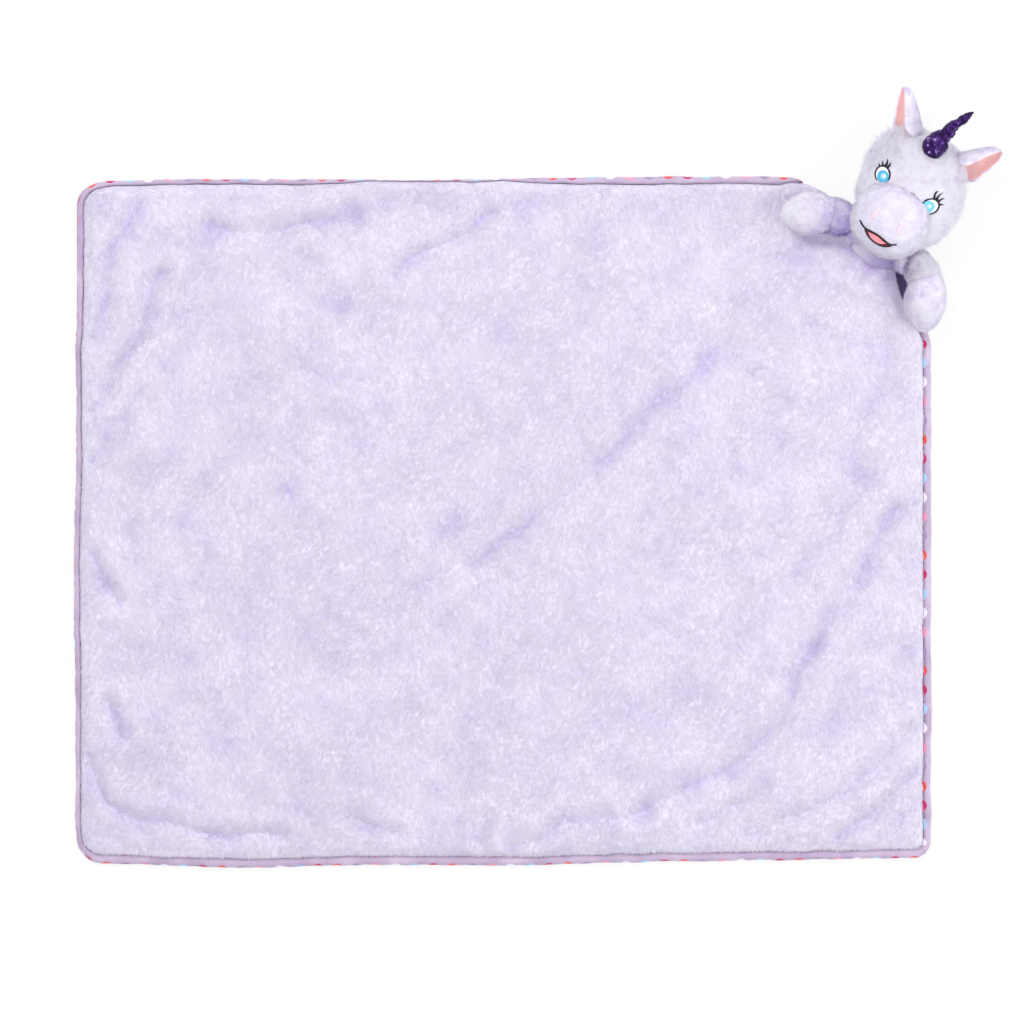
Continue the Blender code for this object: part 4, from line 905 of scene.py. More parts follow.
def make_back():
    """The dotted back, which the blanket lies on."""
    loop = blanket_loop(*BACK_STEPS)
    plan = patch(loop + inward(loop) * BACK_INSET, *BACK_STEPS)
    inner = np.clip(np.abs(noise(plan, 0.05, 31)) + 0.4 * np.abs(noise(plan, 0.02, 32)), 0, 1)
    lower = np.column_stack((plan, BACK_LOW + BACK_WRINKLE * inner))
    upper = np.column_stack((plan, np.full(len(plan), BACK_TOP)))
    columns, rows = BACK_STEPS[0] + 1, BACK_STEPS[1] + 1
    faces, count = grid_faces(rows, columns), len(plan)
    grid = np.arange(count).reshape(rows, columns)
    rim = np.concatenate((grid[0, :-1], grid[:-1, -1], grid[-1, :0:-1], grid[:0:-1, 0]))
    after = np.roll(rim, -1)
    sides = np.stack((rim, after, after + count, rim + count), 1)
    faces = np.concatenate((faces[:, ::-1], faces + count, sides))
    mesh = mesh_from("blanket_back_cloth", np.concatenate((lower, upper)), faces)
    mesh.set_sharp_from_angle(angle=math.radians(50))
    back = add_piece("blanket_back_cloth", mesh, "dotted_fleece", "blanket", "blanket_back")


# Binding: a strip over each side, from one point of the outline to another

TOP_END_SHIFT = 0.010
RIGHT_END_SHIFT = 0.026


def strip_ranges():
    """The first and last point of the outline under each strip."""
    long, wide = LONG_STEPS, WIDE_STEPS
    _, side_line, fall_line, _ = blanket_sides(long, wide)
    fall_x = BLANKET_PLACE[0] + HALF_LENGTH - FALL_START + TOP_END_SHIFT
    off_fall = np.abs(fall_line[:, 0] - fall_x) + 10 * (fall_line[:, 0] > fall_x)
    rise_y = BLANKET_PLACE[1] + HALF_WIDTH - SIDE_START + RIGHT_END_SHIFT
    return {
        "bottom": (0, long),
        "right": (long, long + int(np.argmin(np.abs(side_line[:, 1] - rise_y)))),
        "top": (long + wide + int(np.argmin(off_fall)), 2 * long + wide),
        "left": (2 * long + wide, 2 * long + 2 * wide),
    }


RANGES = strip_ranges()
BINDING_COLUMNS = 34
HEM_SHARE, ARC_SHARE = 0.10, 0.82
HEM_REACH, HEM_HEIGHT = 0.012, 0.0002
ARC_START, ARC_SWEEP = -90.0, 272.0
ROLL_MIDDLE, ROLL_HALF = 0.0052, 0.0050
SEAM_REACH, SEAM_DROP = 0.0034, 0.0008
NARROW = 0.004
# Painted shade on the binding: in the groove at its seam, on the slope down to it, and at the top strip's end under the
# arm
GROOVE_SHADE, SLOPE_SHADE, END_SHADE = 0.85, 0.30, 0.8
END_REACH = 0.012
DOT_OFFSETS = {"bottom": (0.0052, 0.0014), "right": (0.0, 0.0068), "top": (0.0095, 0.0003), "left": (0.0, 0.0028)}


def make_binding(name):
    """A padded strip folded over one side: from the back's hem, round the edge to the seam in the groove."""
    first, last = RANGES[name]
    index = np.arange(first, last + 1) % len(LOOP)
    place, into = LOOP[index], INWARD[index]
    run = run_of(place)
    wide = np.maximum(binding_width(place), 0.0006)[:, None]
    share = np.linspace(0, 1, BINDING_COLUMNS)[None]
    turn = np.clip((share - HEM_SHARE) / (ARC_SHARE - HEM_SHARE), 0, 1)
    angle = np.radians(ARC_START + ARC_SWEEP * turn)
    depth = wide / 2 * (1 - np.cos(angle))
    height = ROLL_MIDDLE + ROLL_HALF * np.sin(angle)
    hem = np.clip(1 - share / HEM_SHARE, 0, 1)
    depth = depth + (HEM_REACH - depth) * hem
    height = height + (HEM_HEIGHT - height) * np.clip(2 * hem, 0, 1)
    seam = np.clip((share - ARC_SHARE) / (1 - ARC_SHARE), 0, 1)
    depth = depth + SEAM_REACH * np.clip(2 * seam - 1, 0, 1)
    height = height - SEAM_DROP * np.clip(2 * seam, 0, 1)
    section = np.stack((depth, height + 0 * wide), 2)
    steps = np.linalg.norm(np.diff(section, axis=1), axis=2)
    t = np.concatenate((np.zeros((len(index), 1)), np.cumsum(steps, axis=1)), 1)
    front = np.argmin(np.abs(angle[0]))
    t = t - t[:, front : front + 1]
    s = np.broadcast_to(run[:, None], t.shape)
    flat = np.stack((s.ravel(), t.ravel()), 1)
    pucker = 0.00045 * noise(flat * np.array((1.0, 0.35)), 0.0045, 41) + 0.0007 * noise(flat, 0.022, 42)
    pucker = pucker.reshape(t.shape) * smooth((turn - 0.2) / 0.2) * smooth((1 - turn) / 0.2)
    pucker = pucker * np.clip(wide / NARROW, 0.2, 1)
    section = section + np.stack((-np.cos(angle), np.sin(angle)), 2) * pucker[..., None]
    section[..., 1] = np.maximum(section[..., 1], 0.0001)
    plan = place[:, None] + into[:, None] * section[..., :1]
    points = np.concatenate((plan, section[..., 1:]), 2).reshape(-1, 3)
    mesh = mesh_from("binding_" + name + "_roll", points, grid_faces(len(index), BINDING_COLUMNS)[:, ::-1])
    along, across = DOT_OFFSETS[name]
    add_coordinates(mesh, np.stack((s.ravel() + along, t.ravel() + DOT_PITCH / 2 + across), 1))
    # Painted shade in the groove, on the slope into it, and at the top strip's tucked end
    dark = GROOVE_SHADE * smooth((turn - 0.86) / 0.10) + SLOPE_SHADE * smooth((turn - 0.68) / 0.2)
    dark = np.clip(dark, 0, GROOVE_SHADE) * np.clip(wide / NARROW, 0.3, 1)
    if name == "top":
        dark = np.maximum(dark, END_SHADE * smooth((END_REACH - run[:, None]) / END_REACH))
    add_tone(mesh, np.broadcast_to(dark, t.shape).ravel())
    roll = add_piece("binding_" + name + "_roll", mesh, "dotted_binding", "blanket", "binding_" + name)


CORNER_ROWS = (325, 240)
CORNER_REACH = 0.0085
CORNER_UNDER = 0.012
CORNER_COLUMNS = 12
CORNER_HEIGHT, CORNER_FALL = 0.0042, 0.0022
CORNER_SHADE = 0.9
NO_DOTS = 0.04


def make_corner():
    """The dotted cloth turned in under the drawn-in corner, painted dark all over as the shade in the slot beside the
    arm.
    """
    rows = np.arange(RANGES["right"][1], RANGES["top"][0] + 1)
    low, high = (from_photo([(900, row)])[0, 1] for row in CORNER_ROWS)
    rows = rows[(LOOP[rows, 1] > low) & (LOOP[rows, 1] < min(high, BLANKET_PLACE[1] + HALF_WIDTH))]
    place, into = LOOP[rows], INWARD[rows]
    run = run_of(place)
    share = np.linspace(0, 1, CORNER_COLUMNS)[None]
    fade = smooth(run / CORNER_UNDER) * smooth((run[-1] - run) / CORNER_UNDER)
    depth = CORNER_UNDER - (CORNER_UNDER + CORNER_REACH * fade[:, None]) * share
    height = CORNER_HEIGHT - CORNER_FALL * share**2 + 0 * depth
    flat = np.stack(((run[:, None] + 0 * depth).ravel(), depth.ravel()), 1)
    height = height + 0.0005 * noise(flat, 0.008, 43).reshape(height.shape)
    plan = place[:, None] + into[:, None] * depth[..., None]
    points = np.concatenate((plan, height[..., None]), 2).reshape(-1, 3)
    mesh = mesh_from("corner_hem_cloth", points, grid_faces(len(rows), CORNER_COLUMNS))
    add_coordinates(mesh, flat * NO_DOTS)
    # Painted shade: the whole piece is as dark as the slot's shade
    add_tone(mesh, CORNER_SHADE)
    hem = add_piece("corner_hem_cloth", mesh, "dotted_binding", "blanket")


# Stuffed shapes of the toy

SKIN_VOXEL = 0.0045
SKIN_PRESSURE = 12.0
SKIN_MASS = 0.001
SKIN_STIFFNESS = 0.10
SKIN_FRAMES = 20
PLUMP_START = 0.0010
PLUMP_CAP = 0.0030


def round_form(place, radii, power=2.0, divisions=6):
    """A closed round form: unit directions, and points on its surface, in the toy's frame."""
    bm = bmesh.new()
    bmesh.ops.create_icosphere(bm, subdivisions=divisions, radius=1)
    ways = np.array([vert.co[:] for vert in bm.verts])
    faces = np.array([[vert.index for vert in face.verts] for face in bm.faces])
    bm.free()
    size = (np.abs(ways) ** power).sum(1) ** (-1 / power)
    return ways, np.array(place) + ways * size[:, None] * np.array(radii), faces


def evaluated(piece):
    return piece.evaluated_get(bpy.context.evaluated_depsgraph_get())


def plumped(mesh, cap, *seams):
    """Stuffs a closed skin: cloth blown up by at most cap from a smaller form.

    The skin is held by its seams, at (place, reach) pairs in the toy's frame.
    """
    scene = bpy.context.scene
    name = mesh.name
    mesh.name = name + "_cut"
    skin = bpy.data.objects.new(name + "_skin", mesh)
    scene.collection.objects.link(skin)
    remesh = skin.modifiers.new("remesh", "REMESH")
    remesh.mode = "VOXEL"
    remesh.voxel_size = SKIN_VOXEL
    skin.data = bpy.data.meshes.new_from_object(evaluated(skin))
    skin.modifiers.clear()
    before = coordinates_of(skin.data)
    local = toy_place(before)
    firm = np.zeros(len(local))
    for place, reach in seams:
        firm = np.maximum(firm, smooth(2 * (1 - np.linalg.norm(local - np.array(place), axis=1) / reach)))
    group = skin.vertex_groups.new(name="seams")
    for index in np.flatnonzero(firm > 0.02):
        group.add([int(index)], float(firm[index]), "REPLACE")
    cloth = skin.modifiers.new("cloth", "CLOTH")
    settings = cloth.settings
    settings.use_pressure = True
    settings.uniform_pressure_force = SKIN_PRESSURE
    settings.effector_weights.gravity = 0.0
    settings.mass = SKIN_MASS
    settings.tension_stiffness = settings.compression_stiffness = SKIN_STIFFNESS
    settings.shear_stiffness = SKIN_STIFFNESS / 3
    settings.vertex_group_mass = "seams"
    cloth.point_cache.frame_start = 1
    cloth.point_cache.frame_end = SKIN_FRAMES
    for number in range(1, SKIN_FRAMES + 1):
        scene.frame_set(number)
    move = coordinates_of(evaluated(skin).to_mesh()) - before
    far = np.linalg.norm(move, axis=1, keepdims=True)
    after = before + move * np.minimum(1.0, cap / np.maximum(far, 1e-9))
    skin.modifiers.clear()
    scene.frame_set(1)
    skin.data.vertices.foreach_set("co", after.ravel())
    skin.modifiers.new("finer", "SUBSURF").levels = 1
    result = bpy.data.meshes.new_from_object(evaluated(skin))
    result.name = name
    bpy.data.objects.remove(skin)
    result.shade_smooth()
    return result


def swell(points, outward, place, reach, amount):
    """Moves points near a place along their outward directions."""
    return points + outward * (amount * bell(np.linalg.norm(points - np.array(place), axis=1) / reach))[:, None]


# The head's and muzzle's covers are this much thicker than their skins
HEAD_COVER = 0.0022
MUZZLE_COVER = 0.0012
# Where the head swells: place, reach and amount
HEAD_SWELLS = (
    ((0.045, 0.022, 0.050), 0.030, 0.0045),
    ((-0.045, 0.032, 0.045), 0.028, 0.0045),
    ((0.030, 0.105, 0.050), 0.030, 0.0020),
    ((0.002, 0.075, 0.095), 0.022, 0.0012),
    ((-0.042, 0.098, 0.045), 0.028, 0.0075),
)
ROOT_REACH = 0.016
COMB_CENTRE = np.array(MUZZLE_PLACE) + np.array((0.0, 0.012, -0.02))
EYES = {"left": ((-0.0312, 0.0552), -1), "right": ((0.0285, 0.0523), 1)}
EYE_BARE = (0.0105, 0.0115)
DIMPLE = (0.0368, 0.0880)
DIMPLE_REACH, DIMPLE_SHADE, FUR_LIGHT = 0.0035, 0.30, 0.03
MOTTLE, MOTTLE_WIDTH = 0.22, 0.005
MUZZLE_SHIFT = (0.0018, 0.0030, 0.0)


def on_face(places, up):
    """Where the head's pile stands: not under the muzzle or the eyes, and longer at its shaggy side."""
    local = toy_place(places)
    share = np.full(len(places), 1.0)
    inside = np.abs((local - np.array(MUZZLE_PLACE)) / (np.array(MUZZLE_RADII) * 0.96)) ** 2.4
    share[inside.sum(1) < 1] = 0.0
    for (x, y), _ in EYES.values():
        away = np.hypot((local[:, 0] - x) / EYE_BARE[0], (local[:, 1] - y) / EYE_BARE[1])
        share = np.where((away < 1.25) & (local[:, 2] > 0.05), share * np.clip(away - 0.55, 0.0, 0.8), share)
    shaggy = smooth((-0.024 - local[:, 0]) / 0.02) * smooth((local[:, 1] - 0.045) / 0.02)
    return share * (1 + 1.0 * shaggy)


def off_face(places, up):
    return on_face(places, up) * smooth((0.80 - up[:, 2]) / 0.3)


def curly(places, up):
    """Where the long locks stand, at the crown's side."""
    x, y, z = toy_place(places).T
    share = smooth((-0.030 - x) / 0.012) * smooth((y - 0.050) / 0.012)
    share *= smooth((0.108 - y) / 0.012) * smooth((z - 0.020) / 0.010)
    return share * 1.2


def mottled(places):
    return MOTTLE * noise(places, MOTTLE_WIDTH, 95) - 0.02


# Painted shade of a small dimple above the right eye, on head pile a little lighter overall
def dimpled(places):
    x, y, _ = toy_place(places).T
    return FUR_LIGHT - DIMPLE_SHADE * bell(np.hypot(x - DIMPLE[0], y - DIMPLE[1]) / DIMPLE_REACH)


def make_head():
    ways, points, faces = round_form(HEAD_PLACE, np.array(HEAD_RADII) - HEAD_COVER - PLUMP_START)
    for place, reach, amount in HEAD_SWELLS:
        points = swell(points, ways, place, reach, amount)
    points += ways * (0.0012 * noise(points, 0.028, 61))[:, None]
    mesh = mesh_from("head_plush", moved(points), faces)
    roots = [(toy_joint(joint), ROOT_REACH) for joint in ("ear_left_fold", "ear_right_fold", "horn_tilt")]
    mesh = plumped(mesh, PLUMP_CAP, *roots, (NECK_PLACE, 0.020))
    add_tone(mesh, -0.12)
    head = add_piece("head_plush", mesh, "lavender_toy_plush", "head", "head_cover", "head_stuffing")
    pile("head_locks", head, combed((-0.6, 0.5, 0.0), 1.1, 0.007, 88, droop=0.4), curly, mottled)
    comb = combed(lambda local: unit(local - COMB_CENTRE), 0.6, 0.010, 62, side_droop=0.55)
    pile("head_pile", head, comb, on_face, dimpled)
    pile("head_fringe", head, comb, off_face, mottled)
    return head


def make_muzzle():
    ways, points, faces = round_form(MUZZLE_PLACE, np.array(MUZZLE_RADII) - MUZZLE_COVER - PLUMP_START, 2.5)
    points = points + np.array(MUZZLE_SHIFT)
    points += ways * (0.0005 * noise(points, 0.02, 64))[:, None]
    mesh = plumped(mesh_from("muzzle_plush", moved(points), faces), PLUMP_CAP, (NECK_PLACE, 0.025))
    add_tone(mesh, -0.20)
    muzzle = add_piece("muzzle_plush", mesh, "pale_muzzle_plush", "head", "muzzle_cover", "muzzle_stuffing")
    comb = combed((0.0, -1.0, -0.2), 0.5, 0.012, 65)
    pile("muzzle_pile", muzzle, comb, None, darker(-0.06))
    pile("muzzle_fringe", muzzle, comb, lambda places, up: smooth((0.55 - up[:, 2]) / 0.3), darker(-0.06))
    return muzzle


BUST_RADII = (0.0285, 0.0165, 0.0112)
# Painted shade on the bust's pile, deepest at its right beside the slot: place, reach, depth and the tone beyond
BUST_SHADES = ((0.024, -0.020, 0.012), 0.022, 0.36, -0.06)
NECK_RADII = (0.019, 0.016, 0.0135)
SHOULDER_RADII = {"left": (0.0130, 0.0120, 0.0115), "right": (0.0120, 0.0135, 0.0115)}
SHOULDER_PLACES = {"left": (-0.029, -0.010, 0.0244), "right": (0.037, -0.010, 0.0244)}


def soft_ball(name, place, radii, body, way, paint, *nodes, tone=darker(-0.18)):
    """A small stuffed form with pile, where the toy's pieces are sewn together. Unless given another tone, its pile is
    painted darker, as the shade under the head where these forms sit.
    """
    _, points, faces = round_form(place, radii, 2.0, 5)
    mesh = mesh_from(name, moved(points), faces)
    add_tone(mesh, -0.12)
    ball = add_piece(name, mesh, paint, body, *nodes)
    seed = coat_of(name + "_pile")[-1]
    pile(name + "_pile", ball, combed(way, 0.4, 0.012, seed, droop=0.3), None, tone)


# Arms

ARM_REACH = {"left": (-0.0205, 0.0125, -0.0740, -0.0275), "right": (0.0300, 0.013, 0.0535, -0.057)}
ARM_WIDTHS = {"left": (0.040, 0.049), "right": (0.037, 0.046)}
# How the painted shade falls off from the shoulder: reach, depth and the tone beyond
ARM_SHADES = {
    "arm": {"left": (0.046, 0.44, 0.06), "right": (0.034, 0.16, 0.14)},
    "hoof": {"left": (0.046, 0.62, 0.08), "right": (0.040, 0.16, -0.08)},
}
ARM_THICKNESS = 0.0305
HOOF_THICKNESS = 0.036
CUFF_SHARE = 0.42
CUFF_START_SHARE = 0.25
END_SHARE = 0.025
INNER_SHARE, OUTER_SHARE = 0.16, 0.27
WAIST_PLACE, WAIST_REACH, WAIST_DEPTH = 0.53, 0.10, 0.09
CUFF_SEAM_SHARE = 0.43
CUFF_HELD, SHOULDER_HELD = 0.020, 0.016
STATIONS, AROUND = 56, 44
LYING_GAP = 0.0006
# The right hoof swells towards the slot: direction, place, reach and amount
HOOF_SWELL = (np.array((-0.857, -0.515, 0.0)), (0.055, -0.060, 0.030), 0.022, 0.0045)


def arm_axis(side, share):
    """Points on an arm's middle line, which comes to lie on the plush."""
    start = np.array(SHOULDER_PLACES[side])
    bend_x, bend_y, end_x, end_y = ARM_REACH[side]
    bend, end = start + np.array((bend_x, bend_y, 0.0)), start + np.array((end_x, end_y, 0.0))
    share = np.asarray(share, float)
    t = share[:, None]
    place = (1 - t) ** 2 * start + 2 * t * (1 - t) * bend + t**2 * end
    thick = ARM_THICKNESS + (HOOF_THICKNESS - ARM_THICKNESS) * smooth(share / CUFF_SHARE - 0.5)
    lying = PLUSH_TOP + LYING_GAP + thick / 2
    place[:, 2] = start[2] + (lying - start[2]) * smooth(share / CUFF_START_SHARE)
    return place


def arm_form(side, first, last, cover):
    """Part of an arm's outer form, from one share of its length to another, closed at its ends."""
    arm_width, hoof_width = ARM_WIDTHS[side]
    turn = np.linspace(-np.pi / 2, np.pi / 2, STATIONS)
    share = first + (last - first) * (0.5 + 0.5 * np.sin(turn))
    run = unit(arm_axis(side, share + 0.01) - arm_axis(side, share - 0.01))
    aside = unit(np.cross(run, np.array((0.0, 0.0, 1.0))))
    over = np.cross(aside, run)
    grown = smooth((share - CUFF_START_SHARE) / CUFF_SHARE)
    waist = 1 - WAIST_DEPTH * bell((share - WAIST_PLACE) / WAIST_REACH)
    full = quarter(share / INNER_SHARE) * quarter((1 - share) / OUTER_SHARE) * waist
    closing = quarter((share - first) / END_SHARE) * quarter((last - share) / END_SHARE)
    wide = (arm_width + (hoof_width - arm_width) * grown) / 2 * full - cover
    thick = (ARM_THICKNESS + (HOOF_THICKNESS - ARM_THICKNESS) * grown) / 2 * full - cover
    wide, thick = (np.clip(size, 0, None) * closing for size in (wide, thick))
    angle = np.linspace(0, 2 * np.pi, AROUND, endpoint=False)[None, :, None]
    ring = aside[:, None] * np.cos(angle) * wide[:, None, None] + over[:, None] * np.sin(angle) * thick[:, None, None]
    points = (arm_axis(side, share)[:, None] + ring).reshape(-1, 3)
    points += unit(ring.reshape(-1, 3) + 1e-9) * (0.0007 * noise(points, 0.016, 67))[:, None]
    if side == "right":
        points = swell(points, *HOOF_SWELL)
    return points, grid_faces(STATIONS, AROUND, closed=True)


def make_arm(side):
    """An arm's upper part and its hoof, which overlap under the cuff seam."""
    start, end = np.array(SHOULDER_PLACES[side][:2]), np.array(ARM_REACH[side][2:])

    def way(local):
        share = np.clip(np.linalg.norm(local[:, :2] - start, axis=1) / np.hypot(*end), 0, 1)
        return unit(arm_axis(side, share + 0.02) - arm_axis(side, share))

    def before_cuff(places, up):
        share = (toy_place(places)[:, :2] - start) @ end / np.dot(end, end)
        return smooth((share - 0.30) / 0.03) * smooth((0.43 - share) / 0.02)

    comb = combed(way, 0.45, 0.013, 68, side_droop=0.4)
    seams = (arm_axis(side, [CUFF_SEAM_SHARE])[0], CUFF_HELD), (SHOULDER_PLACES[side], SHOULDER_HELD)
    for part, first, last, cover, paint, insides in (
        ("arm", -0.04, 0.50, 0.0012, "lavender_toy_plush", ("cover", "stuffing")),
        ("hoof", 0.41, 1.0, 0.0009, "pale_short_plush", ("cover",)),
    ):
        name = part + "_" + side + "_"
        points, faces = arm_form(side, first, last, cover + PLUMP_START / 2)
        mesh = mesh_from(name + "plush", moved(points), faces)
        merge_poles(mesh)
        mesh = plumped(mesh, PLUMP_CAP / 2, *seams)
        piece = add_piece(name + "plush", mesh, paint, "arm_" + side, *(name + inside for inside in insides))
        shades = shaded(SHOULDER_PLACES[side], *ARM_SHADES[part][side])
        pile(name + "pile", piece, comb, None, shades)
        if part == "arm":
            pile(name + "cuff_pile", piece, comb, before_cuff, shades)
        pile(name + "fringe", piece, comb, None, shades)


# Ears

EAR_LENGTHS = {"left": 0.0490, "right": 0.0440}
EAR_START = 0.0010
EAR_RADIUS = 0.0165
EAR_ANGLE = 105.0
EAR_STATIONS = (-0.26, -0.12, 0.0, 0.12, 0.30, 0.48, 0.68, 0.86, 0.95, 1.0)
EAR_SWELLS = (0.70, 1.12, 1.26, 1.20, 1.06, 0.96, 0.80, 0.60, 0.46, 0.22)
EAR_ROOT_CLOSING = 0.34
EAR_LEAN = 30.5
EAR_TURNS = {"left": 70.0, "right": 58.0}
EAR_SHIFTS = {"left": (-0.0030, -0.0008, 0.0), "right": (0.0, 0.0, 0.0)}
EAR_CLOTH = 0.0024
EAR_GRID, LINING_GRID = (50, 34), (34, 28)
RIM_TURN, LINING_TURN = 3.0, 1.5
LINING_GAP = 0.0009
CREASE_WIDTH, CREASE_RISE = 0.0016, 0.0012


def ear_frame(side):
    sign = -1 if side == "left" else 1
    lean = Matrix.Rotation(math.radians(-sign * EAR_LEAN), 4, "Z")
    turn = Matrix.Rotation(math.radians(sign * EAR_TURNS[side]), 4, "Y")
    place = joint_place("ear_" + side + "_fold") + TOY.to_3x3() @ Vector(EAR_SHIFTS[side])
    return Matrix.Translation(place) @ TOY.to_3x3().to_4x4() @ lean @ turn


def leaf(length, first, last, angle, less, rows, columns):
    """A folded leaf open towards Z: grid points between two stations, some way inside."""
    along = np.linspace(first, last, rows)
    radius = smoothed(np.interp(along, EAR_STATIONS, EAR_SWELLS), 4) * EAR_RADIUS - less
    closing = 1 - EAR_ROOT_CLOSING * smooth((0.16 - along) / 0.40)
    turn = np.radians(np.linspace(-angle, angle, columns))[None] * closing[:, None]
    radius = np.broadcast_to(radius[:, None], turn.shape)
    y = EAR_START + (length - EAR_START) * np.broadcast_to(along[:, None], radius.shape)
    return np.stack((radius * np.sin(turn), y, -radius * np.cos(turn)), 2)


def make_ear(side):
    """An ear: a folded plush leaf that closes round its rim, and a pink lining inside it."""
    matrix = ear_frame(side)
    length = EAR_LENGTHS[side]
    name = body = "ear_" + side
    outer, inner, rim = (
        leaf(length, -0.26, 1.0, EAR_ANGLE + more, less, *EAR_GRID)
        for more, less in ((0.0, 0.0), (0.0, EAR_CLOTH), (RIM_TURN, EAR_CLOTH / 2))
    )
    ring = np.concatenate((outer, rim[:, -1:], inner[:, ::-1], rim[:, :1]), 1)
    middle = (outer + inner) / 2
    closed = np.concatenate((middle, middle[:, -1:], middle[:, ::-1], middle[:, :1]), 1)
    ring = np.concatenate((closed[:1], ring, closed[-1:]))
    points = ring.reshape(-1, 3)
    points = points + 0.0005 * wander(points, 0.012, 75)
    mesh = mesh_from(name + "_plush", moved(points, matrix), grid_faces(*ring.shape[:2], closed=True))
    merge_poles(mesh)
    add_tone(mesh, -0.16)
    ear = add_piece(name + "_plush", mesh, "lavender_toy_plush", body, name + "_outer")
    tip_way = np.array(matrix.to_3x3())[:, 1]

    def keep(places, up):
        x, y, z = moved(places, matrix.inverted()).T
        wanted = np.interp((y - EAR_START) / (length - EAR_START), EAR_STATIONS, EAR_SWELLS)
        outside = np.hypot(x, z) > wanted * EAR_RADIUS - EAR_CLOTH * 0.6
        at_rim = np.degrees(np.arctan2(np.abs(x), -z)) / EAR_ANGLE
        share = 1.5 - 0.9 * np.clip(y / length / 0.7, 0, 1)
        return np.where(outside, share * (1 - 0.5 * smooth((at_rim - 0.8) / 0.2)), 0.0)

    pile(name + "_pile", ear, lambda places, up: tip_way + 0.45 * wander(places, 0.012, 78), keep, darker(-0.08))
    lined = leaf(length, 0.0, 0.985, EAR_ANGLE + LINING_TURN, EAR_CLOTH + LINING_GAP, *LINING_GRID)
    points = lined.reshape(-1, 3)
    crease = bell(points[:, 0] / CREASE_WIDTH) * np.clip(points[:, 1] / 0.02, 0, 1)
    points = points + np.array((0.0, 0.0, 1.0)) * (CREASE_RISE * crease)[:, None]
    points = points + 0.0004 * wander(points, 0.009, 82)
    mesh = mesh_from(name + "_pink", moved(points, matrix), grid_faces(*LINING_GRID)[:, ::-1])
    lining = add_piece(name + "_pink", mesh, "pink_lining", body, name + "_lining")
    pile(name + "_pink_pile", lining, lambda places, up: tip_way + 0.6 * wander(places, 0.008, 84))


# Horn

HORN_LENGTH = 0.065
HORN_BALL = 0.0125
HORN_BEND = 0.010
HORN_TURNS = 2.6
HORN_AIM = (0.10, 0.83, 0.54)
HORN_SHIFT = (-0.0015, 0.0015, 0.0)
HORN_PLACES = (0.0, 0.14, 0.24, 0.33, 0.43, 0.52, 0.61, 0.70, 0.82, 0.92, 1.0)
HORN_SWELLS = (1.0, 0.98, 0.80, 0.57, 0.62, 0.56, 0.39, 0.45, 0.36, 0.24, 0.10)
HORN_GRID = (110, 56)
GROOVE_DEPTH = 0.16
HORN_CREASE = 0.0022


def make_horn():
    """The horn of crinkled lamé: a round root, wound in by a spiral groove and bent to one side."""
    start = toy_joint("horn_tilt") + np.array(HORN_SHIFT)
    aim = unit(np.array([HORN_AIM]))[0]
    aside = unit(np.cross(aim, (0.0, 0.0, 1.0))[None])[0]
    over = np.cross(aside, aim)
    stations, around = HORN_GRID
    turn = np.linspace(-np.pi / 2, np.pi / 2, stations)
    along = -HORN_BALL + (HORN_LENGTH + HORN_BALL) * (0.5 + 0.5 * np.sin(turn)) ** 0.9
    beyond = np.clip(along, 0, None) / HORN_LENGTH
    wide = smoothed(HORN_BALL * np.interp(beyond, HORN_PLACES, HORN_SWELLS), 3)
    wide = np.where(along > 0, wide, np.sqrt(np.clip(HORN_BALL**2 - along**2, 0, None)))
    wide *= np.sqrt(np.clip(1 - np.clip((along - 0.965 * HORN_LENGTH) / (0.035 * HORN_LENGTH), 0, 1) ** 2, 0, 1))
    groove = GROOVE_DEPTH * smooth(along / HORN_BALL - 0.5)
    angle = np.linspace(0, 2 * np.pi, around, endpoint=False)
    phase = 2 * np.pi * HORN_TURNS * beyond[:, None] - angle[None, :]
    reach = wide[:, None] * (1 + groove[:, None] * (1 - 2 * np.abs(np.sin(phase / 2)) ** 0.7))
    centre = start + aim * along[:, None] + aside * (HORN_BEND * beyond**2)[:, None]
    ring = aside * np.cos(angle)[None, :, None] + over * np.sin(angle)[None, :, None]
    points = (centre[:, None] + ring * reach[..., None]).reshape(-1, 3)
    out = np.broadcast_to(ring, (stations, around, 3)).reshape(-1, 3)
    spun = np.column_stack((np.repeat(beyond * 0.030, around), (0.0022 * np.unwrap(phase, axis=1)).ravel()))
    crease = np.abs(noise(spun, 0.0030, 91)) + 0.5 * np.abs(noise(points, 0.0028, 92))
    points = points + out * (HORN_CREASE * (0.45 - crease) * np.repeat(smooth(wide / 0.003), around))[:, None]
    mesh = mesh_from("horn_lame", moved(points), grid_faces(stations, around, closed=True))
    merge_poles(mesh)
    horn = add_piece("horn_lame", mesh, "purple_lame", "horn", "horn_cover", "horn_stuffing")


# Embroidery: threads laid on the plush

THREAD = 0.0015
THREAD_PITCH = 0.0007
STRIP_RIDGE, PATCH_RIDGE = 0.00013, 0.00010
SKIRT = -0.0010
STRIP_SHARES = np.array((-1.0, -0.92, -0.6, -0.2, 0.2, 0.6, 0.92, 1.0))
PATCH_SHARES = np.array((0.0, 0.2, 0.4, 0.6, 0.75, 0.87, 0.95, 1.0, 1.01))


def on_surface(tree, x, y, lift):
    """Points of the toy's plan on the surface below them, raised along its normal."""
    down = TOY.to_3x3() @ Vector((0, 0, -1))
    hits = [tree.ray_cast(TOY @ Vector((u, v, 0.2)), down)[:2] for u, v in zip(x, y)]
    points, normals = (np.array(column) for column in zip(*hits))
    return points + normals * np.asarray(lift)[:, None]


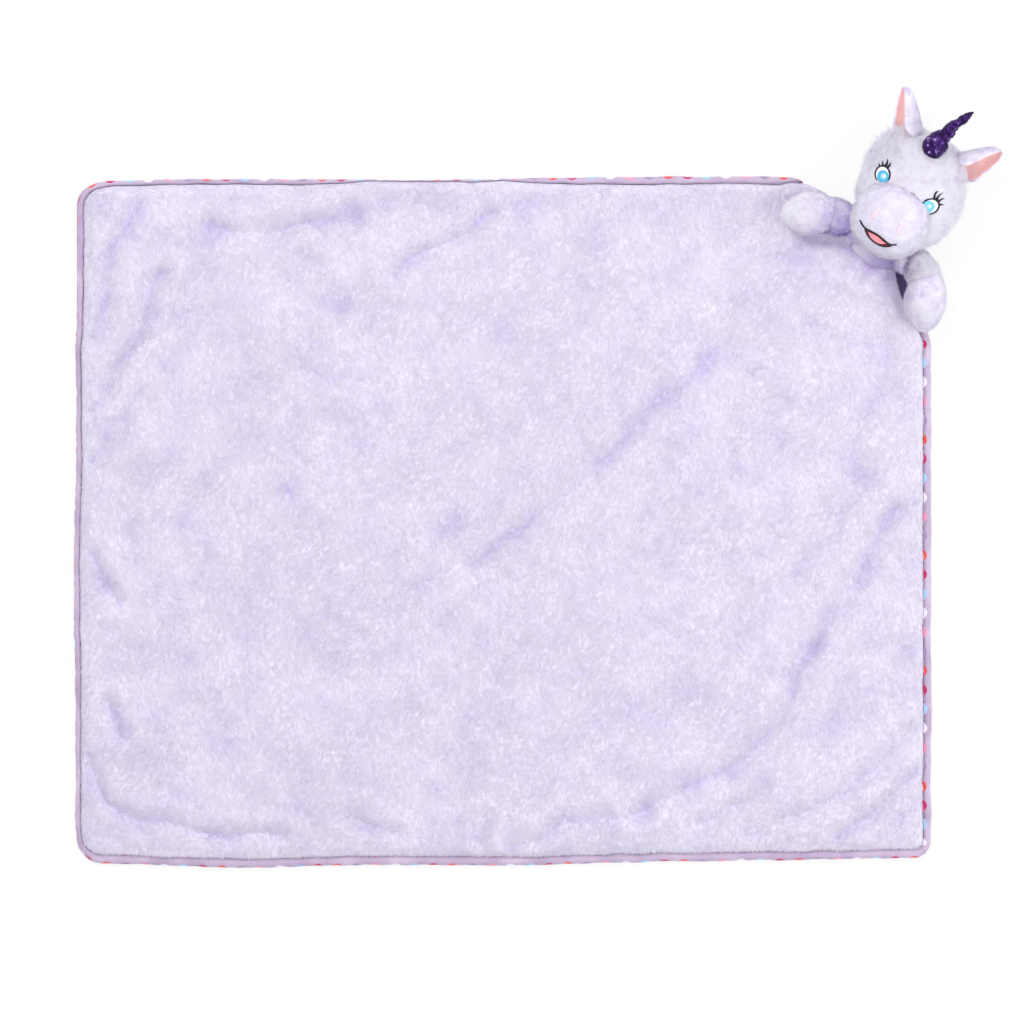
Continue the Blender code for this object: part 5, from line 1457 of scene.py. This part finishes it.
def strip(name, tree, path, widths, lift, crown, paint, *nodes):
    """A band of satin stitches along a line, raised in the middle."""
    path = np.array(path, float)
    far = run_of(path)[-1]
    steps = max(int(far / (THREAD_PITCH / 3)), 6)
    line, width = np.split(resampled(path, steps, widths), [2], axis=1)
    for k in range(2):
        line[2:-2, k] = np.convolve(line[:, k], np.ones(5) / 5, "valid")
    run = unit(np.gradient(line, axis=0))
    side = np.stack((-run[:, 1], run[:, 0]), 1)
    plan = line[:, None] + side[:, None] * (width / 2 * STRIP_SHARES)[..., None]
    ridge = STRIP_RIDGE * np.abs(np.sin(np.pi * np.linspace(0, far, steps + 1) / THREAD_PITCH))
    height = lift + crown * np.sqrt(1 - (STRIP_SHARES * 0.98) ** 2)[None] + ridge[:, None]
    height[:, (0, -1)] = SKIRT
    height[(0, -1), :] = SKIRT
    points = on_surface(tree, *plan.reshape(-1, 2).T, height.ravel())
    mesh = mesh_from(name, points, grid_faces(len(line), len(STRIP_SHARES))[:, ::-1])
    add_piece(name, mesh, paint, "head", *nodes)


def stitched_patch(name, tree, outline, lift, crown, paint, *nodes):
    """A field of stitches inside a closed line, raised in the middle."""
    outline = np.array(outline, float)
    centre = outline.mean(0)
    plan = centre + (outline - centre)[None] * PATCH_SHARES[:, None, None]
    height = lift + crown * np.sqrt(np.clip(1 - PATCH_SHARES**2, 0, 1))
    height[-1] = SKIRT
    height = np.repeat(height, len(outline))
    x, y = plan.reshape(-1, 2).T
    ridge = PATCH_RIDGE * np.abs(np.sin(np.pi * (x + 0.15 * y) / THREAD_PITCH))
    points = on_surface(tree, x, y, height + np.where(height > 0, ridge, 0.0))
    mesh = mesh_from(name, points, grid_faces(len(PATCH_SHARES), len(outline), closed=True))
    merge_poles(mesh)
    add_piece(name, mesh, paint, "head", *nodes)


EYE_WIDTH = 0.0138
EYE_HEIGHT = 0.0172
EYE_FOOT = 0.36
EYE_LIFT = 0.0012
EYE_TILTS = {"left": 30.0, "right": -38.0}
# An eye's fields: shift from the iris, shares of its width and height, foot, steps, lift, crown and thread
EYE_FIELDS = {
    "iris": ((0.0, 0.0), 0.86, 0.80, 0.40, 72, 0.0004, 0.0004, {"left": "blue_thread", "right": "light_blue_thread"}),
    "light": ((0.0004, 0.0006), 0.42, 0.36, 0.5, 72, 0.0008, 0.0003, "pale_blue_thread"),
    "highlight": ((0.0010, 0.0014), 0.20, 0.17, 0.5, 36, 0.0011, 0.0003, "white_thread"),
}
LASH_TIPS = {
    "left": ((-41.0, 63.5), (-38.6, 67.8), (-34.8, 72.0), (-30.4, 71.2)),
    "right": ((27.0, 70.4), (32.4, 71.6), (36.9, 67.0), (39.6, 61.0)),
}
LASH_WIDTHS = (THREAD * 1.3, THREAD * 1.1, THREAD * 0.85, THREAD * 0.4)
LASH_BOW = 0.12


def tilted(x, y, degrees):
    angle = math.radians(degrees)
    return x * math.cos(angle) - y * math.sin(angle), x * math.sin(angle) + y * math.cos(angle)


def eye_line(place, width, height, tilt, foot=EYE_FOOT, steps=72, start=0.0, sweep=360.0, closed=True):
    """The eye's line: an oval with a flattened foot."""
    angles = np.radians(start + sweep * np.arange(steps + (not closed)) / steps)
    x, y = tilted(width / 2 * np.cos(angles), height * np.maximum(0.5 * np.sin(angles), -foot), tilt)
    return np.stack((place[0] + x, place[1] + y), 1)


def make_eye(side, tree):
    place, sign = EYES[side]
    tilt = EYE_TILTS[side]
    name = "eye_" + side + "_"
    white = eye_line(place, EYE_WIDTH, EYE_HEIGHT, tilt)
    stitched_patch(name + "white_stitches", tree, white, EYE_LIFT, 0.0004, "white_thread", name + "white")
    low = np.array(place) + np.array(tilted(sign * -0.0006, -EYE_HEIGHT * 0.13, tilt))
    for field, (shift, wide, high, foot, steps, lift, crown, paint) in EYE_FIELDS.items():
        line = eye_line(low + np.array(shift), EYE_WIDTH * wide, EYE_HEIGHT * high, tilt, foot, steps)
        paint = paint if isinstance(paint, str) else paint[side]
        nodes = () if field == "light" else (name + field,)
        stitched_patch(name + field + "_stitches", tree, line, EYE_LIFT + lift, crown, paint, *nodes)
    size = EYE_WIDTH + THREAD * 0.8, EYE_HEIGHT + THREAD * 0.8
    rim = eye_line(place, *size, tilt, EYE_FOOT, 60, -42.0, 264.0, closed=False)
    widths = THREAD * (0.75 + 0.45 * np.sin(np.linspace(0, np.pi, len(rim))))
    strip(name + "outline_stitches", tree, rim, widths, EYE_LIFT + 0.0002, 0.0005, "black_thread", name + "outline")
    for number, tip in enumerate(LASH_TIPS[side]):
        tip = np.array(tip) / 1000
        foot = rim[np.argmin(np.linalg.norm(rim - tip, axis=1))]
        way = tip - foot
        bow = np.array((-way[1], way[0])) * LASH_BOW * sign
        line = [foot, foot + way * 0.35 + bow, foot + way * 0.7 + bow, tip]
        strip(name + "lash_" + str(number + 1), tree, line, LASH_WIDTHS, EYE_LIFT + 0.0007, 0.0004, "black_thread")


# Lips and nostrils: points in millimetres
UPPER_LIP = (
    (-27.4, 1.8), (-25.0, -0.4), (-22.0, -2.2), (-18.2, -3.3), (-13.0, -3.0), (-7.5, -2.6),
    (-1.0, -2.8), (5.0, -3.8), (10.4, -4.9), (14.7, -4.4), (19.2, -0.6),
)
LOWER_LIP = (
    (-18.2, -3.6), (-15.5, -5.9), (-12.0, -8.0), (-7.3, -9.6), (-2.0, -10.4), (3.0, -10.3),
    (8.0, -9.2), (12.0, -7.0), (14.7, -4.8),
)
NOSTRILS = {
    "left": ((-16.0, 22.0), (-17.0, 15.5), (-18.4, 8.6)),
    "right": ((12.2, 20.8), (13.2, 14.6), (14.4, 8.4)),
}
MOUTH_LIFT = 0.0008
NOSTRIL_WIDTH = 0.0044


def smooth_line(points, steps=60):
    """A smooth line through a few points, given in millimetres."""
    line = resampled(np.array(points, float) / 1000, steps)
    for _ in range(12):
        line[1:-1] = (line[:-2] + line[1:-1] * 2 + line[2:]) / 4
    return line


def make_mouth(tree):
    upper, lower = smooth_line(UPPER_LIP), smooth_line(LOWER_LIP)
    x = np.linspace(lower[0, 0], lower[-1, 0], 40)
    under, above = (np.stack((x, np.interp(x, *line.T)), 1) for line in (lower, upper))
    outline = np.concatenate((under, above[::-1][1:-1]))
    stitched_patch("mouth_lining_stitches", tree, outline, MOUTH_LIFT, 0.0002, "dark_red_thread", "mouth_lining")
    middle = outline.mean(0) + np.array((-0.0006, -0.0004))
    tongue = middle + (outline - outline.mean(0)) * np.array((0.66, 0.72))
    stitched_patch("tongue_stitches", tree, tongue, MOUTH_LIFT + 0.0004, 0.0004, "pink_thread", "tongue")
    for name, line, ends, nodes in (("upper", upper, 0.35, ("mouth_outline",)), ("lower", lower, 0.8, ())):
        widths = THREAD * (ends + (1.15 - ends) * np.sin(np.linspace(0, np.pi, len(line))) ** 0.6)
        strip("mouth_outline_" + name, tree, line, widths, MOUTH_LIFT + 0.0004, 0.0005, "black_thread", *nodes)
    for side, line in NOSTRILS.items():
        path = smooth_line(line, 24)
        widths = NOSTRIL_WIDTH * np.sqrt(np.clip(1 - np.linspace(-0.94, 0.94, len(path)) ** 2, 0, 1))
        name = "nostril_" + side
        strip(name + "_stitches", tree, path, widths, MOUTH_LIFT, 0.0004, "pink_nostril_thread", name)


def make_toy():
    head, muzzle = (triangles_of(make().data) for make in (make_head, make_muzzle))
    points = np.concatenate((head[0], muzzle[0]))
    triangles = np.concatenate((head[1], muzzle[1] + len(head[0])))
    face = BVHTree.FromPolygons(points.tolist(), triangles.tolist())
    head_only = BVHTree.FromPolygons(head[0].tolist(), head[1].tolist())
    for side in ("left", "right"):
        make_eye(side, head_only)
    make_mouth(face)
    soft_ball("bust_plush", BUST_PLACE, BUST_RADII, "blanket", (-0.62, -0.79, 0.0), "lavender_plush",
              "bust_cover", "bust_stuffing", tone=shaded(*BUST_SHADES))
    soft_ball("neck_plush", NECK_PLACE, NECK_RADII, "neck", (0.0, -1.0, 0.0), "lavender_plush", "neck_stuffing")
    for side, place in SHOULDER_PLACES.items():
        body = "shoulder_" + side
        way = (-1.0 if side == "left" else 1.0, -0.3, 0.0)
        soft_ball(body + "_plush", place, SHOULDER_RADII[side], body, way, "lavender_toy_plush", body + "_stuffing")
        make_arm(side)
        make_ear(side)
    make_horn()


# Picture: camera, floor and light

FLOOR_HALF = 60
FLOOR_GLOW = 0.85
WORLD_COLOUR = (0.94, 0.915, 1.0, 1.0)
WORLD_LIGHT = 0.82
# Lamps: place, what it points at, size and power
LAMPS = {
    "key_lamp": ((-1.6, 2.6, 5.0), (0.1, 0.0, 0.0), 1.6, 130.0),
    "fill_lamp": ((2.2, -0.2, 1.7), (0.2, 0.0, 0.0), 2.0, 28.0),
}


def make_camera():
    data = bpy.data.cameras.new("camera")
    data.lens = CAMERA_LENS
    data.sensor_width = CAMERA_SENSOR
    data.clip_end = 200.0
    camera = bpy.data.objects.new("camera", data)
    bpy.context.scene.collection.objects.link(camera)
    middle = from_photo([(PHOTO_SIZE / 2, PHOTO_SIZE / 2)])[0]
    away = PHOTO_SCALE * PHOTO_SIZE * CAMERA_LENS / CAMERA_SENSOR
    camera.location = (middle[0], middle[1], away + PLUSH_TOP)
    bpy.context.scene.camera = camera


def make_floor():
    """A pale floor that the camera sees as nearly white, with the object's shadow on it."""
    corners = np.array([(-1, -1, 0), (1, -1, 0), (1, 1, 0), (-1, 1, 0)], float) * FLOOR_HALF
    floor = bpy.data.objects.new("floor", mesh_from("floor", corners, [(0, 1, 2, 3)]))
    bpy.context.scene.collection.objects.link(floor)
    paint = Paint("pale_floor", 0.9)
    grain = paint.ramp(paint.texture(60.0, 3.0), (0.0, (248, 248, 249)), (1.0, (252, 252, 253)))
    paint.link(grain, paint.shader.inputs["Base Color"])
    glow = paint.tree.nodes.new("ShaderNodeEmission")
    glow.inputs["Strength"].default_value = 1.0
    blend = paint.tree.nodes.new("ShaderNodeMixShader")
    paint.link(paint.maths("MULTIPLY", seeing_rays(paint.tree), FLOOR_GLOW), blend.inputs["Fac"])
    paint.link(paint.shader.outputs[0], blend.inputs[1])
    paint.link(glow.outputs[0], blend.inputs[2])
    paint.link(blend.outputs[0], paint.tree.nodes["Material Output"].inputs["Surface"])
    floor.data.materials.append(paint.material)


def add_lamp(name, place, target, size, power):
    data = bpy.data.lights.new(name, "AREA")
    data.shape = "DISK"
    data.size = size
    data.energy = power
    lamp = bpy.data.objects.new(name, data)
    lamp.location = place
    lamp.rotation_euler = (Vector(target) - Vector(place)).to_track_quat("-Z", "Y").to_euler()
    bpy.context.scene.collection.objects.link(lamp)


def make_light():
    for name, values in LAMPS.items():
        add_lamp(name, *values)
    world = bpy.data.worlds.new("studio")
    bpy.context.scene.world = world
    world.use_nodes = True
    tree = world.node_tree
    background = tree.nodes["Background"]
    background.inputs["Color"].default_value = WORLD_COLOUR
    strength = maths(tree, "MULTIPLY_ADD", seeing_rays(tree), 1.0 - WORLD_LIGHT, WORLD_LIGHT)
    tree.links.new(strength, background.inputs["Strength"])


bpy.context.scene.view_settings.view_transform = "Standard"
make_camera()
make_floor()
make_light()
make_back()
make_plush()
for binding in ("bottom", "right", "top", "left"):
    make_binding(binding)
make_corner()
make_toy()
